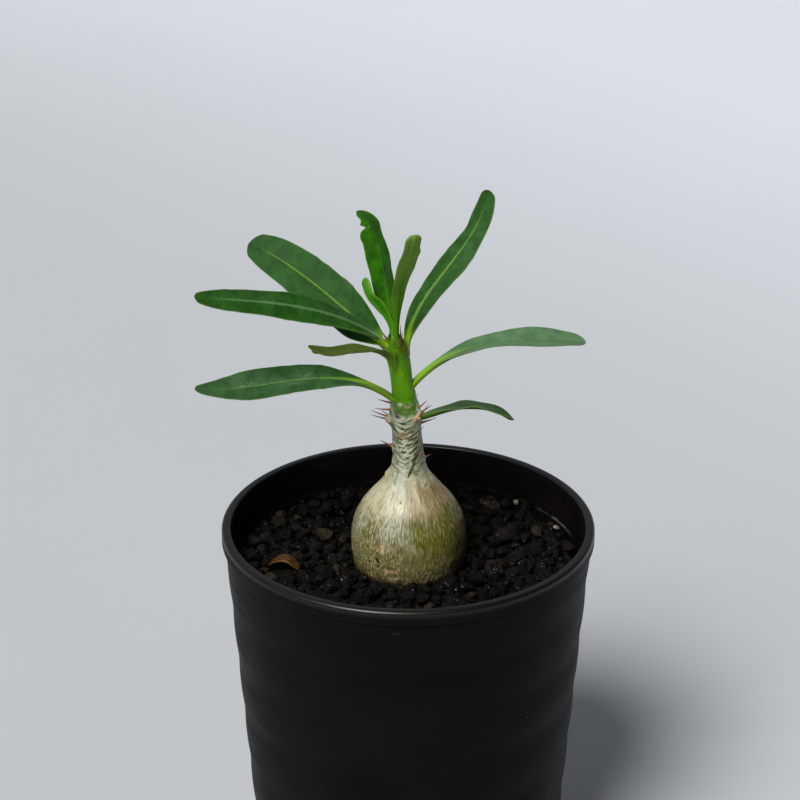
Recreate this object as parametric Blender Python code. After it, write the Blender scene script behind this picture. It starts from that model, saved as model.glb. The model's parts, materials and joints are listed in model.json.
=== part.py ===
"""A young pachypodium in a black plastic pot.

One grown stem (swollen base, bark neck, green tip and its spines), ten leaves, a gritty potting mix
with a dry scrap of husk on it, and the tapered pot that holds them. Lengths are in metres, Z is up,
and the origin is the middle of the pot's underside. The front of the plant is towards -Y.
"""

import math
import random
from dataclasses import dataclass

import bmesh
import bpy
from mathutils import Euler, Vector

MM = 0.001
GAP = 0.3 * MM

# Pot: a 90 mm nursery pot with one helical groove, as if thrown on a wheel
POT_HEIGHT = 100 * MM
RIM_RADIUS = 45 * MM
WALL_TOP_RADIUS = 44.6 * MM
WALL_TAPER = 0.0735
WALL_THICKNESS = 1.9 * MM
LIP_HEIGHT = 3.8 * MM
GROOVE_PITCH = 14.4 * MM
GROOVE_DEPTH = 0.45 * MM
GROOVE_FRONT_HEIGHT = 83.2 * MM
GROOVE_FADE = 6 * MM
BASE_CHAMFER = 1.2 * MM
RECESS_HEIGHT = 2.0 * MM
FOOT_INNER_RADIUS = 31.5 * MM
PAD_RADIUS = 17 * MM
RECESS_SLOPE = 1.0 * MM
FLOOR_TOP = 4.4 * MM
FLOOR_FILLET = 3 * MM
DRAIN_COUNT = 8
DRAIN_RADIUS = 3.6 * MM
DRAIN_CIRCLE = 24.5 * MM
NOTCH_COUNT = 4
NOTCH_WIDTH = 7 * MM
POT_SIDES = 40
GROOVE_ROWS = (-0.36, -0.12, 0.0, 0.12, 0.36)

# Potting mix: one body up to the level line, covered by grains
SOIL_LEVEL = 89.2 * MM
GRAIN_RADII = (2.1 * MM, 3.0 * MM)
GRAIN_SPACING = 5.3 * MM
GRAIN_FIRST_RING = 17.4 * MM
GRAIN_LAST_RING = 38.0 * MM
GRAIN_SEED = 11

# Stem: radius at each height of the swollen base, the bark neck and the green tip
STEM_PROFILE = (
    (40, 0.9),
    (50, 2.2),
    (60, 3.8),
    (68, 5.8),
    (74, 8.3),
    (80, 11.1),
    (86, 12.6),
    (90, 13.4),
    (94, 14.0),
    (98, 13.9),
    (102, 13.0),
    (105.5, 11.1),
    (108, 9.0),
    (110, 7.2),
    (112, 5.6),
    (115, 4.2),
    (119, 3.65),
    (124, 3.5),
    (127.5, 3.75),
    (130, 3.65),
    (132.5, 3.1),
    (134, 2.65),
    (139, 2.55),
    (144, 2.5),
    (147, 2.2),
    (149, 1.4),
)
STEM_TOP = 149.7 * MM
STEM_BOTTOM = 38 * MM
STEM_SIDES = 28
LEAN_START = 108 * MM
LEAN_CURVE = 2.1
PUCKERS = 11
PUCKER_DEPTH = 0.28 * MM
PUCKER_HEIGHT = 109 * MM
PUCKER_SPREAD = 5 * MM
SOIL_CLEAR_HEIGHT = 95 * MM

# Spines: a height on the stem, a direction, a length and a rise, in mm and degrees
SPINE_RADIUS = 0.36 * MM
SPINE_SINK = 1.3 * MM
SPINES = (
    (127.2, 176, 4.4, 14),
    (126.4, 192, 4.7, 10),
    (129.2, 216, 3.6, 4),
    (131.0, 168, 2.2, -4),
    (120.2, 186, 3.4, 24),
    (130.6, 340, 3.2, 42),
    (128.2, 318, 3.0, 28),
    (126.2, 2, 3.4, 12),
    (117.4, 352, 2.2, 18),
    (127.8, 30, 3.8, 16),
    (129.6, 62, 3.4, 22),
    (126.6, 84, 4.2, 8),
    (128.8, 118, 3.6, 18),
    (126.0, 140, 4.4, 12),
    (121.6, 52, 3.0, 20),
    (119.2, 118, 3.2, 16),
    (122.8, 262, 1.6, 10),
    (135.6, 336, 1.6, 40),
    (134.8, 40, 1.8, 40),
    (140.8, 108, 2.2, 50),
    (141.6, 316, 2.2, 62),
)

# Leaves: blades and stalks share these proportions
BLADE_EDGE = 0.6 * MM
RIB_DEPTH = 0.42 * MM
RIB_GROOVE = 0.10 * MM
STALK_HALF_WIDTH = 0.8 * MM
STALK_DEPTH = 1.35 * MM
STALK_SHARE = 0.13
WAVE_HEIGHT = 0.22 * MM
LEAF_STATIONS = 15
LEAF_STEPS = 8
CROSS_SHARES = (-1.0, -0.5, 0.0, 0.5, 1.0)


@dataclass
class Leaf:
    """One leaf: where it leaves the stem, and how its midrib runs. Lengths in mm, angles in degrees.

    The midrib's elevation goes from rise[0] at the stem through rise[1] halfway to rise[2] at the tip,
    and its heading from heading[0] to heading[1]. Roll turns the blade about its midrib, and fold
    lifts its two halves.
    """

    name: str
    height: float
    bearing: float
    start: float
    length: float
    heading: tuple
    rise: tuple
    roll: float
    width: float
    fold: float
    shape: tuple = (1.15, 0.55)


LEAVES = (
    Leaf("leaf_low_right", 128.0, 336, 1.6, 26.2, (348, 338), (21, 12, -34), -5, 5.2, 10, (0.7, 0.95)),
    Leaf("leaf_low_left", 132.0, 190, 1.2, 50.0, (188, 192), (47, -2, 10), -27, 8.9, 8, (1.1, 0.6)),
    Leaf("leaf_mid_right", 135.0, 5, 1.0, 46.5, (7, 13), (56, 6, -8), 3, 9.8, 8, (1.2, 0.47)),
    Leaf("leaf_front_left", 139.0, 250, 1.0, 37.7, (238, 226), (81, 15, 31), 0, 7.2, 6, (1.0, 0.5)),
    Leaf("leaf_high_right", 143.6, 35, 1.0, 45.2, (45, 41), (82, 36, 80), 3, 8.5, 14, (0.65, 0.55)),
    Leaf("leaf_mid_left", 144.6, 200, 1.0, 51.2, (196, 197), (52, 17, 17), -34, 7.4, 20, (0.65, 0.55)),
    Leaf("leaf_high_left", 145.6, 152, 1.0, 44.1, (152, 151), (23, 30, 13), -41, 11.4, 8, (0.5, 0.45)),
    Leaf("leaf_front_upright", 145.8, 266, 1.0, 37.1, (279, 292), (112, 55, 73), 3, 4.0, 26, (0.75, 0.3)),
    Leaf("leaf_young_tall", 147.4, 78, 0.9, 31.4, (118, 131), (56, 70, 33), 7, 6.5, 30, (0.7, 0.4)),
    Leaf("leaf_young_small", 147.6, 196, 1.3, 16.2, (165, 173), (100, 53, 86), 2, 4.0, 28, (1.0, 0.6)),
)

# A dry husk scrap, arched over the mix at the left
SCRAP_CENTRE = (-29.4 * MM, -3.4 * MM)
SCRAP_LENGTH = 9.0 * MM
SCRAP_WIDTH = 4.0 * MM
SCRAP_HEIGHT = 2.6 * MM
SCRAP_THICKNESS = 0.7 * MM
SCRAP_TURN = math.radians(-12)
SCRAP_STEPS = 10


def clear_scene():
    """Removes every object that a new file starts with."""
    for obj in list(bpy.data.objects):
        bpy.data.objects.remove(obj, do_unlink=True)


def surface(name, colour, roughness, metallic=0.0):
    """A Principled material in one linear colour."""
    made = bpy.data.materials.new(name)
    made.use_nodes = True
    shader = made.node_tree.nodes["Principled BSDF"]
    shader.inputs["Base Color"].default_value = (*colour, 1.0)
    shader.inputs["Roughness"].default_value = roughness
    shader.inputs["Metallic"].default_value = metallic
    return made


def add_object(name, points, faces, finish, sharp_angle=40):
    """An object from points and faces, closed, facing out and shaded smooth."""
    mesh = bpy.data.meshes.new(name)
    mesh.from_pydata([tuple(p) for p in points], [], faces)
    work = bmesh.new()
    work.from_mesh(mesh)
    bmesh.ops.remove_doubles(work, verts=work.verts, dist=0.002 * MM)
    bmesh.ops.recalc_face_normals(work, faces=work.faces)
    work.to_mesh(mesh)
    work.free()
    mesh.shade_smooth()
    mesh.set_sharp_from_angle(angle=math.radians(sharp_angle))
    if finish:
        mesh.materials.append(finish)
    made = bpy.data.objects.new(name, mesh)
    bpy.context.scene.collection.objects.link(made)
    return made


def ring_faces(first, second, sides):
    """Quads between two rings of vertex numbers."""
    return [
        (first + i, first + (i + 1) % sides, second + (i + 1) % sides, second + i)
        for i in range(sides)
    ]


def turned(name, profile, sides, finish, middle=None):
    """A turned solid from (radius, height) pairs, whose two ends close on the axis.

    middle gives the axis's sideways place at a height, for a body that leans.
    """
    points = []
    faces = []
    for radius, height in profile:
        shift = middle(height) if middle else Vector((0, 0, 0))
        for i in range(sides):
            angle = math.tau * i / sides
            points.append(
                Vector((radius * math.cos(angle), radius * math.sin(angle), height)) + shift
            )
    for row in range(len(profile) - 1):
        faces += ring_faces(row * sides, (row + 1) * sides, sides)
    faces.append(tuple(range(sides)))
    faces.append(tuple(range((len(profile) - 1) * sides, len(profile) * sides)))
    return add_object(name, points, faces, finish)


def bake_modifiers(obj):
    """Puts an object's modifiers into its mesh."""
    graph = bpy.context.evaluated_depsgraph_get()
    mesh = bpy.data.meshes.new_from_object(obj.evaluated_get(graph))
    obj.modifiers.clear()
    obj.data = mesh


def combine(obj, others, operation, solver="EXACT"):
    """One Boolean with a collection of closed solids, which are then removed."""
    tools = bpy.data.collections.new(obj.name + "_tools")
    bpy.context.scene.collection.children.link(tools)
    for other in others:
        for holder in list(other.users_collection):
            holder.objects.unlink(other)
        tools.objects.link(other)
    cut = obj.modifiers.new(operation.title(), "BOOLEAN")
    cut.operand_type = "COLLECTION"
    cut.collection = tools
    cut.operation = operation
    cut.solver = solver
    bake_modifiers(obj)
    for other in others:
        bpy.data.objects.remove(other, do_unlink=True)
    bpy.data.collections.remove(tools)


def wall_radius(height):
    """The pot's plain outer radius at a height, before its groove."""
    return WALL_TOP_RADIUS - WALL_TAPER * (POT_HEIGHT - height)


def inner_radius(height):
    """The radius of the pot's inner wall at a height."""
    return wall_radius(height) - WALL_THICKNESS


def groove_depth(share):
    """How deep the groove lies at a share of the pitch from its middle, -0.5 to 0.5."""
    bulge = 1 - abs(1 - 2 * abs(share)) ** 3
    return GROOVE_DEPTH * (1 - bulge)


def groove_fade(height):
    """The groove's strength: full on the wall, and none at the lip and the foot."""
    top = POT_HEIGHT - LIP_HEIGHT
    edge = min(height - BASE_CHAMFER, top - height)
    return min(1.0, max(0.0, edge / GROOVE_FADE))


def grooved_wall(low, high):
    """Points and faces of the outer wall between two heights, in rows that follow the groove.

    A row that has gone once round continues as the row one pitch higher, and rows past an end are
    held at it, where their points merge into one circle.
    """
    rows = len(GROOVE_ROWS)
    turns = math.ceil((high - low) / GROOVE_PITCH) + 2
    at_zero = GROOVE_FRONT_HEIGHT + GROOVE_PITCH * 0.25
    first = at_zero - GROOVE_PITCH * math.ceil((at_zero - low) / GROOVE_PITCH + 1)
    points = []
    faces = []
    for turn in range(turns + 1):
        for share in GROOVE_ROWS:
            for i in range(POT_SIDES + 1):
                angle = math.tau * i / POT_SIDES
                height = first + GROOVE_PITCH * (turn + share + i / POT_SIDES)
                height = min(high, max(low, height))
                radius = wall_radius(height) - groove_depth(share) * groove_fade(height)
                points.append((radius * math.cos(angle), radius * math.sin(angle), height))
    across = POT_SIDES + 1
    for row in range((turns + 1) * rows - 1):
        for i in range(POT_SIDES):
            a = row * across + i
            faces.append((a, a + 1, a + 1 + across))
            faces.append((a, a + 1 + across, a + across))
    return points, faces


def pot_profile():
    """The pot's profile from the top of the outer wall over the lip and inside to the floor,
    then from the foot of the wall across the underside to the middle."""
    lip_low = POT_HEIGHT - LIP_HEIGHT
    lip_inner = inner_radius(POT_HEIGHT)
    over = [
        (wall_radius(lip_low), lip_low),
        (RIM_RADIUS - 0.1 * MM, lip_low + 0.2 * MM),
        (RIM_RADIUS, lip_low + 0.7 * MM),
        (RIM_RADIUS, POT_HEIGHT - 0.9 * MM),
        (RIM_RADIUS - 0.4 * MM, POT_HEIGHT - 0.2 * MM),
        (RIM_RADIUS - 0.9 * MM, POT_HEIGHT),
        (lip_inner + 0.6 * MM, POT_HEIGHT),
        (lip_inner, POT_HEIGHT - 0.6 * MM),
        (inner_radius(SOIL_LEVEL), SOIL_LEVEL),
        (inner_radius(FLOOR_TOP + FLOOR_FILLET), FLOOR_TOP + FLOOR_FILLET),
        (inner_radius(FLOOR_TOP) - 0.3 * FLOOR_FILLET, FLOOR_TOP + 0.3 * FLOOR_FILLET),
        (inner_radius(FLOOR_TOP) - FLOOR_FILLET, FLOOR_TOP),
    ]
    under = [
        (wall_radius(0) - BASE_CHAMFER, 0.0),
        (FOOT_INNER_RADIUS, 0.0),
        (FOOT_INNER_RADIUS - RECESS_SLOPE, RECESS_HEIGHT),
        (PAD_RADIUS + RECESS_SLOPE, RECESS_HEIGHT),
        (PAD_RADIUS, 0.0),
    ]
    return over, under


def make_pot(finish):
    """The pot: grooved outer wall, rounded lip, smooth inside, drained floor and foot ring."""
    low = BASE_CHAMFER
    high = POT_HEIGHT - LIP_HEIGHT
    points, faces = grooved_wall(low, high)
    over, under = pot_profile()
    for chain in (over, [(wall_radius(low), low)] + under):
        start = len(points)
        for radius, height in chain:
            for i in range(POT_SIDES):
                angle = math.tau * i / POT_SIDES
                points.append((radius * math.cos(angle), radius * math.sin(angle), height))
        for row in range(len(chain) - 1):
            faces += ring_faces(start + row * POT_SIDES, start + (row + 1) * POT_SIDES, POT_SIDES)
        faces.append(tuple(range(len(points) - POT_SIDES, len(points))))
    pot = add_object("pot", points, faces, finish)
    cutters = []
    for i in range(DRAIN_COUNT):
        angle = math.tau * i / DRAIN_COUNT
        profile = [(DRAIN_RADIUS, -MM), (DRAIN_RADIUS, FLOOR_TOP + MM)]
        hole = turned("drain", profile, 12, None)
        hole.location = (DRAIN_CIRCLE * math.cos(angle), DRAIN_CIRCLE * math.sin(angle), 0)
        cutters.append(hole)
    for i in range(NOTCH_COUNT):
        angle = math.tau * (i + 0.5) / NOTCH_COUNT
        notch = notch_cutter()
        notch.rotation_euler = (0, 0, angle)
        cutters.append(notch)
    combine(pot, cutters, "DIFFERENCE")
    return pot


def notch_cutter():
    """A bar that opens one water notch in the foot ring."""
    inner = FOOT_INNER_RADIUS - 2 * RECESS_SLOPE
    outer = RIM_RADIUS
    half = NOTCH_WIDTH / 2
    top = 0.7 * RECESS_HEIGHT
    points = [
        (x, y, z)
        for z in (-MM, top)
        for x, y in ((inner, -half), (outer, -half), (outer, half), (inner, half))
    ]
    return add_object("notch", points, [(3, 2, 1, 0), (4, 5, 6, 7)] + ring_faces(0, 4, 4), None)


def stem_middle(height):
    """Where the stem's axis is at a height: upright below, leaning left above the swollen base."""
    over = max(0.0, height - LEAN_START)
    return Vector((0.2 * MM - LEAN_CURVE * over * over, 0, 0))


def stem_radius(height):
    """The stem's plain radius at a height, between the profile's rows."""
    rows = [(h * MM, r * MM) for h, r in STEM_PROFILE]
    for (h0, r0), (h1, r1) in zip(rows, rows[1:]):
        if height <= h1:
            return r0 + (r1 - r0) * max(0.0, height - h0) / (h1 - h0)
    return rows[-1][1]


def pucker(angle, height):
    """Upright folds on the shoulder, where the swollen base narrows to the neck."""
    near = math.exp(-(((height - PUCKER_HEIGHT) / PUCKER_SPREAD) ** 2))
    uneven = 0.75 + 0.25 * math.sin(2 * angle + 1.0)
    return PUCKER_DEPTH * near * uneven * math.cos(PUCKERS * angle + 0.8)


def make_stem(finish):
    """The stem: taproot, swollen base, bark neck and green tip in one solid, with fused spines."""
    points = [Vector((0.2 * MM, 0, STEM_BOTTOM))]
    faces = []
    for mm_height, mm_radius in STEM_PROFILE:
        height = mm_height * MM
        for i in range(STEM_SIDES):
            angle = math.tau * i / STEM_SIDES
            radius = mm_radius * MM + pucker(angle, height)
            spot = Vector((radius * math.cos(angle), radius * math.sin(angle), height))
            points.append(spot + stem_middle(height))
    rows = len(STEM_PROFILE)
    points.append(Vector((0, 0, STEM_TOP)) + stem_middle(STEM_TOP))
    top = len(points) - 1
    for row in range(rows - 1):
        faces += ring_faces(1 + row * STEM_SIDES, 1 + (row + 1) * STEM_SIDES, STEM_SIDES)
    for i in range(STEM_SIDES):
        after = (i + 1) % STEM_SIDES
        faces.append((0, 1 + after, 1 + i))
        faces.append((top, top - STEM_SIDES + i, top - STEM_SIDES + after))
    stem = add_object("stem", points, faces, finish)
    combine(stem, [make_spine(*row) for row in SPINES], "UNION")
    return stem


def make_spine(height, bearing, length, rise):
    """One spine: a slim four-sided cone, its root sunk in the stem and its tip bent up a little."""
    height *= MM
    length *= MM
    turn = math.radians(bearing)
    outward = Vector((math.cos(turn), math.sin(turn), 0))
    along = outward * math.cos(math.radians(rise)) + Vector((0, 0, math.sin(math.radians(rise))))
    foot = stem_middle(height) + Vector((0, 0, height)) + outward * stem_radius(height)
    root = foot - along * SPINE_SINK
    side = along.cross(Vector((0, 0, 1))).normalized()
    lift = side.cross(along)
    points = []
    for share, radius in ((0.0, 1.5), (0.35, 0.85), (0.7, 0.5)):
        place = root + along * (length + SPINE_SINK) * share + lift * 0.35 * MM * share**2
        for k in range(4):
            angle = math.tau * (k + 0.5) / 4
            offset = side * math.cos(angle) + lift * math.sin(angle)
            points.append(place + offset * radius * SPINE_RADIUS)
    points.append(root + along * (length + SPINE_SINK) + lift * 0.35 * MM)
    faces = ring_faces(0, 4, 4) + ring_faces(4, 8, 4) + [(3, 2, 1, 0)]
    faces += [(8 + k, 8 + (k + 1) % 4, 12) for k in range(4)]
    return add_object("spine", points, faces, None)


def stem_clearance(name, low, high):
    """The stem's outline widened by the gap, between two heights, to cut its neighbours with."""
    heights = [h * MM for h, _ in STEM_PROFILE if low < h * MM < high]
    profile = [(stem_radius(h) + GAP, h) for h in [low] + heights + [high]]
    return turned(name, profile, STEM_SIDES, None, stem_middle)


def make_grain(draw, place):
    """One grain of the mix: a jittered, flattened ball of 20 faces."""
    work = bmesh.new()
    bmesh.ops.create_icosphere(work, subdivisions=1, radius=1.0)
    size = draw.uniform(*GRAIN_RADII)
    stretch = Vector((draw.uniform(0.85, 1.15), draw.uniform(0.85, 1.1), draw.uniform(0.65, 0.9)))
    turn = Euler([draw.uniform(0, math.tau) for _ in range(3)]).to_matrix()
    for vert in work.verts:
        dented = vert.co * draw.uniform(0.86, 1.1) * size
        vert.co = turn @ Vector(a * b for a, b in zip(dented, stretch)) + place
    mesh = bpy.data.meshes.new("grain")
    work.to_mesh(mesh)
    work.free()
    grain = bpy.data.objects.new("grain", mesh)
    bpy.context.scene.collection.objects.link(grain)
    return grain


def on_scrap(x, y):
    """Whether a grain centred here would reach up into the dry scrap."""
    cx, cy = SCRAP_CENTRE
    turn = SCRAP_TURN
    along = (x - cx) * math.cos(turn) + (y - cy) * math.sin(turn)
    across = (y - cy) * math.cos(turn) - (x - cx) * math.sin(turn)
    reach = GRAIN_RADII[1] * 1.15
    return abs(along) < SCRAP_LENGTH / 2 + reach and abs(across) < SCRAP_WIDTH / 2 + reach


def make_soil(finish):
    """The potting mix: a body that fills the pot, with a hole for the stem and grains on top."""
    low = FLOOR_TOP + GAP
    fillet = low + FLOOR_FILLET
    profile = [
        (inner_radius(FLOOR_TOP) - FLOOR_FILLET - GAP, low),
        (inner_radius(fillet) - 2 * GAP, fillet + GAP),
        (inner_radius(SOIL_LEVEL) - GAP, SOIL_LEVEL),
    ]
    soil = turned("potting_mix", profile, POT_SIDES, finish)
    draw = random.Random(GRAIN_SEED)
    grains = []
    rings = round((GRAIN_LAST_RING - GRAIN_FIRST_RING) / GRAIN_SPACING) + 1
    for ring in range(rings):
        radius = GRAIN_FIRST_RING + (GRAIN_LAST_RING - GRAIN_FIRST_RING) * ring / (rings - 1)
        count = round(math.tau * radius / GRAIN_SPACING)
        for i in range(count):
            angle = math.tau * (i + draw.uniform(-0.22, 0.22) + 0.5 * (ring % 2)) / count
            away = min(radius + draw.uniform(-0.6, 0.6) * MM, GRAIN_LAST_RING)
            x, y = away * math.cos(angle), away * math.sin(angle)
            z = SOIL_LEVEL + draw.uniform(-0.5, 0.5) * MM
            if not on_scrap(x, y):
                grains.append(make_grain(draw, Vector((x, y, z))))
    combine(soil, grains, "UNION", "MANIFOLD")
    hole = stem_clearance("hole", STEM_BOTTOM - GAP, SOIL_CLEAR_HEIGHT)
    combine(soil, [hole], "DIFFERENCE")
    soil.data.shade_flat()
    return soil


def make_scrap(finish):
    """The dry scrap: a thin strip bent into a low arch that stands on the mix."""
    points = []
    for step in range(SCRAP_STEPS + 1):
        share = step / SCRAP_STEPS
        across = SCRAP_WIDTH / 2 * (0.45 + 0.55 * math.sin(math.pi * share) ** 0.6)
        arch = math.sin(math.pi * share)
        slope = math.atan2(math.pi * SCRAP_HEIGHT * math.cos(math.pi * share), SCRAP_LENGTH)
        for side, skin in ((-1, 0), (0, 0), (1, 0), (1, 1), (0, 1), (-1, 1)):
            crown = 0.5 * MM * (1 - side * side)
            thick = SCRAP_THICKNESS * skin
            x = (share - 0.5) * SCRAP_LENGTH - thick * math.sin(slope)
            z = SCRAP_HEIGHT * arch + crown * arch + thick * math.cos(slope)
            points.append((x, side * across, z))
    faces = []
    for step in range(SCRAP_STEPS):
        faces += triangles(ring_faces(step * 6, step * 6 + 6, 6))
    faces += [(5, 4, 3, 2, 1, 0), tuple(SCRAP_STEPS * 6 + k for k in range(6))]
    scrap = add_object("dry_scrap", points, faces, finish)
    lowest = min(v.co.z for v in scrap.data.vertices)
    for vert in scrap.data.vertices:
        turned_spot = Euler((0, 0, SCRAP_TURN)).to_matrix() @ vert.co
        lift = SOIL_LEVEL + GAP - lowest
        vert.co = turned_spot + Vector((*SCRAP_CENTRE, lift))
    return scrap


def triangles(quads):
    """Each quad split into two triangles along the same diagonal."""
    return [t for a, b, c, d in quads for t in ((a, b, c), (a, c, d))]


def leaf_angles(leaf, share):
    """The midrib's elevation and heading at a share of the leaf's length, in radians."""
    low, half, high = leaf.rise
    rise = low * (1 - share) * (1 - 2 * share)
    rise += 4 * half * share * (1 - share) + high * share * (2 * share - 1)
    heading = leaf.heading[0] + (leaf.heading[1] - leaf.heading[0]) * share
    return math.radians(rise), math.radians(heading)


def leaf_frame(leaf, share):
    """The midrib's direction, the blade's sideways direction and its upper face's normal."""
    rise, heading = leaf_angles(leaf, share)
    along = Vector(
        (
            math.cos(rise) * math.cos(heading),
            math.cos(rise) * math.sin(heading),
            math.sin(rise),
        )
    )
    side = Vector((math.sin(heading), -math.cos(heading), 0))
    up = side.cross(along)
    opened = min(1.0, share / 0.4)
    roll = math.radians(leaf.roll) * opened
    return along, side * math.cos(roll) - up * math.sin(roll), up * math.cos(roll) + side * math.sin(roll)


def blade_half_width(leaf, share):
    """Half the blade's width at a share of the leaf's length: a stalk, then a long oval."""
    if share <= STALK_SHARE:
        return STALK_HALF_WIDTH
    rise, fall = leaf.shape
    along = (share - STALK_SHARE) / (1 - STALK_SHARE)
    peak = rise / (rise + fall)
    form = along**rise * (1 - along) ** fall / (peak**rise * (1 - peak) ** fall)
    stalk = STALK_HALF_WIDTH * (1 - along) ** 0.5
    return math.hypot(stalk, leaf.width * MM / 2 * form)


def make_leaf(leaf, finish, clearance):
    """One leaf: a thin folded blade with a rib beneath, its stalk cut to the stem with a gap."""
    turn = math.radians(leaf.bearing)
    out = Vector((math.cos(turn), math.sin(turn), 0)) * leaf.start * MM
    place = stem_middle(leaf.height * MM) + Vector((0, 0, leaf.height * MM)) + out
    points = []
    step = leaf.length * MM / (LEAF_STATIONS * LEAF_STEPS)
    for station in range(LEAF_STATIONS):
        share = station / LEAF_STATIONS
        points += leaf_section(leaf, share, place)
        for k in range(LEAF_STEPS):
            along, _, _ = leaf_frame(leaf, share + (k + 0.5) / (LEAF_STATIONS * LEAF_STEPS))
            place = place + along * step
    last = (LEAF_STATIONS - 0.25) / LEAF_STATIONS
    along, _, _ = leaf_frame(leaf, 1.0)
    points += leaf_section(leaf, last, place - along * step * LEAF_STEPS * 0.25)
    points.append(place)
    around = 2 * len(CROSS_SHARES)
    faces = []
    for station in range(LEAF_STATIONS):
        faces += triangles(ring_faces(station * around, (station + 1) * around, around))
    faces.append(tuple(reversed(range(around))))
    tip = len(points) - 1
    faces += [(tip - around + k, tip - around + (k + 1) % around, tip) for k in range(around)]
    made = add_object(leaf.name, points, faces, finish, 60)
    cut = made.modifiers.new("Stem gap", "BOOLEAN")
    cut.operation = "DIFFERENCE"
    cut.object = clearance
    bake_modifiers(made)
    return made


def leaf_section(leaf, share, place):
    """The closed ring of points across a leaf: its upper face, then its lower face back."""
    _, side, up = leaf_frame(leaf, share)
    half = blade_half_width(leaf, share)
    spread = min(1.0, max(0.0, share - STALK_SHARE) / 0.3)
    lift = math.tan(math.radians(leaf.fold)) * spread
    wave = WAVE_HEIGHT * spread * math.sin(share * 17 + leaf.bearing)
    upper = []
    lower = []
    for across in CROSS_SHARES:
        rest = 1 - across * across
        height = half * lift * abs(across) - 0.25 * half * lift * across * across
        height += wave * across - RIB_GROOVE * (1 - abs(across))
        blade_depth = BLADE_EDGE + RIB_DEPTH * max(0.0, 1 - 2.0 * abs(across)) * (1 - 0.5 * share)
        stalk_depth = STALK_DEPTH * (0.35 + 0.65 * rest)
        depth = stalk_depth + (blade_depth - stalk_depth) * spread
        spot = place + side * across * half + up * height
        upper.append(spot)
        lower.append(spot - up * depth)
    return upper + lower[::-1]


def main():
    clear_scene()
    plastic = surface("pot_plastic", (0.012, 0.012, 0.013), 0.5)
    mix = surface("potting_grit", (0.016, 0.014, 0.012), 0.75)
    bark = surface("caudex_bark", (0.33, 0.29, 0.15), 0.55)
    husk = surface("dry_husk", (0.30, 0.16, 0.04), 0.6)
    dark_leaf = surface("leaf_mature", (0.020, 0.095, 0.020), 0.4)
    fresh_leaf = surface("leaf_young", (0.050, 0.200, 0.020), 0.4)
    make_pot(plastic)
    make_soil(mix)
    make_stem(bark)
    make_scrap(husk)
    clearance = stem_clearance("clearance", 120 * MM, STEM_TOP + 0.2 * MM)
    clearance.hide_render = True
    clearance.display_type = "WIRE"
    for leaf in LEAVES:
        make_leaf(leaf, fresh_leaf if "young" in leaf.name else dark_leaf, clearance)
    bpy.data.objects.remove(clearance, do_unlink=True)


if __name__ == "__main__":
    main()
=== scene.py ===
"""The looks of a young pachypodium in a black plastic pot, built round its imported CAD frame.

Sizes in the classes are in millimetres and angles in degrees. Blender itself works in metres, so
points are scaled once, where a mesh is made. The front of the plant is towards -Y and Z is up.
"""

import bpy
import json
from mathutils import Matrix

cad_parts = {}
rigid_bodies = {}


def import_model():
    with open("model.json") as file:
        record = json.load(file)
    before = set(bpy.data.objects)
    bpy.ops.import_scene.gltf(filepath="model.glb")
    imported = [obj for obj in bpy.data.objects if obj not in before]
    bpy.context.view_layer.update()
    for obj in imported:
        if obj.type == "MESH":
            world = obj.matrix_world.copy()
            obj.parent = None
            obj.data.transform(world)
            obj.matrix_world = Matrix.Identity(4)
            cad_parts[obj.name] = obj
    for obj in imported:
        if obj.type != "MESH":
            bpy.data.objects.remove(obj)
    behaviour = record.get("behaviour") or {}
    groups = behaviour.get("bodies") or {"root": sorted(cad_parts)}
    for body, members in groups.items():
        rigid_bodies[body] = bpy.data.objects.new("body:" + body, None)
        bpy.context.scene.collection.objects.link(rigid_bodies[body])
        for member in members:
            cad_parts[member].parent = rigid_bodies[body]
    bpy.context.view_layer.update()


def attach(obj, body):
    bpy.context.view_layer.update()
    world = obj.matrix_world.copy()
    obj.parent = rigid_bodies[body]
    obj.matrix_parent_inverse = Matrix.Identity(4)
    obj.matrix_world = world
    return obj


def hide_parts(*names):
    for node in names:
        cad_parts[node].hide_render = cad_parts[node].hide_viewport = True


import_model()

import itertools
import json
import logging
import math
import random
from dataclasses import dataclass, field
from enum import Enum
from functools import partial
from typing import Any, Sequence

import bmesh
import bpy
import numpy as np

MM = 0.001
BODY = "root"
LOG = logging.getLogger("potted_pachypodium")

Pair = tuple[float, float]
Triple = tuple[float, float, float]
Four = tuple[float, float, float, float]
Array = np.ndarray
Material = bpy.types.Material
Socket = bpy.types.NodeSocket
Feed = Socket | str | float | tuple[float, ...] | None

# Map Range nodes with soft ends instead of sharp corners
SOFT = {"interpolation_type": "SMOOTHSTEP"}


# Helpers for numbers


def linear(shade: str) -> Four:
    """Turns an sRGB hex value into the linear colour that the shaders use.

    Args:
        shade: the colour as "#rrggbb".

    Returns:
        Red, green, blue and an alpha of one.
    """
    parts = [int(shade[i : i + 2], 16) / 255 for i in (1, 3, 5)]
    red, green, blue = (c / 12.92 if c <= 0.04045 else ((c + 0.055) / 1.055) ** 2.4 for c in parts)
    return red, green, blue, 1.0


def smooth_step(low: float, high: float, value: Array) -> Array:
    """Rises from 0 at low to 1 at high with soft ends, and falls where low is above high.

    Args:
        low: where the result is 0.
        high: where the result is 1.
        value: the numbers to map.

    Returns:
        Numbers between 0 and 1, in the shape of value.
    """
    share = np.clip((value - low) / (high - low), 0.0, 1.0)
    return share * share * (3 - 2 * share)


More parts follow.
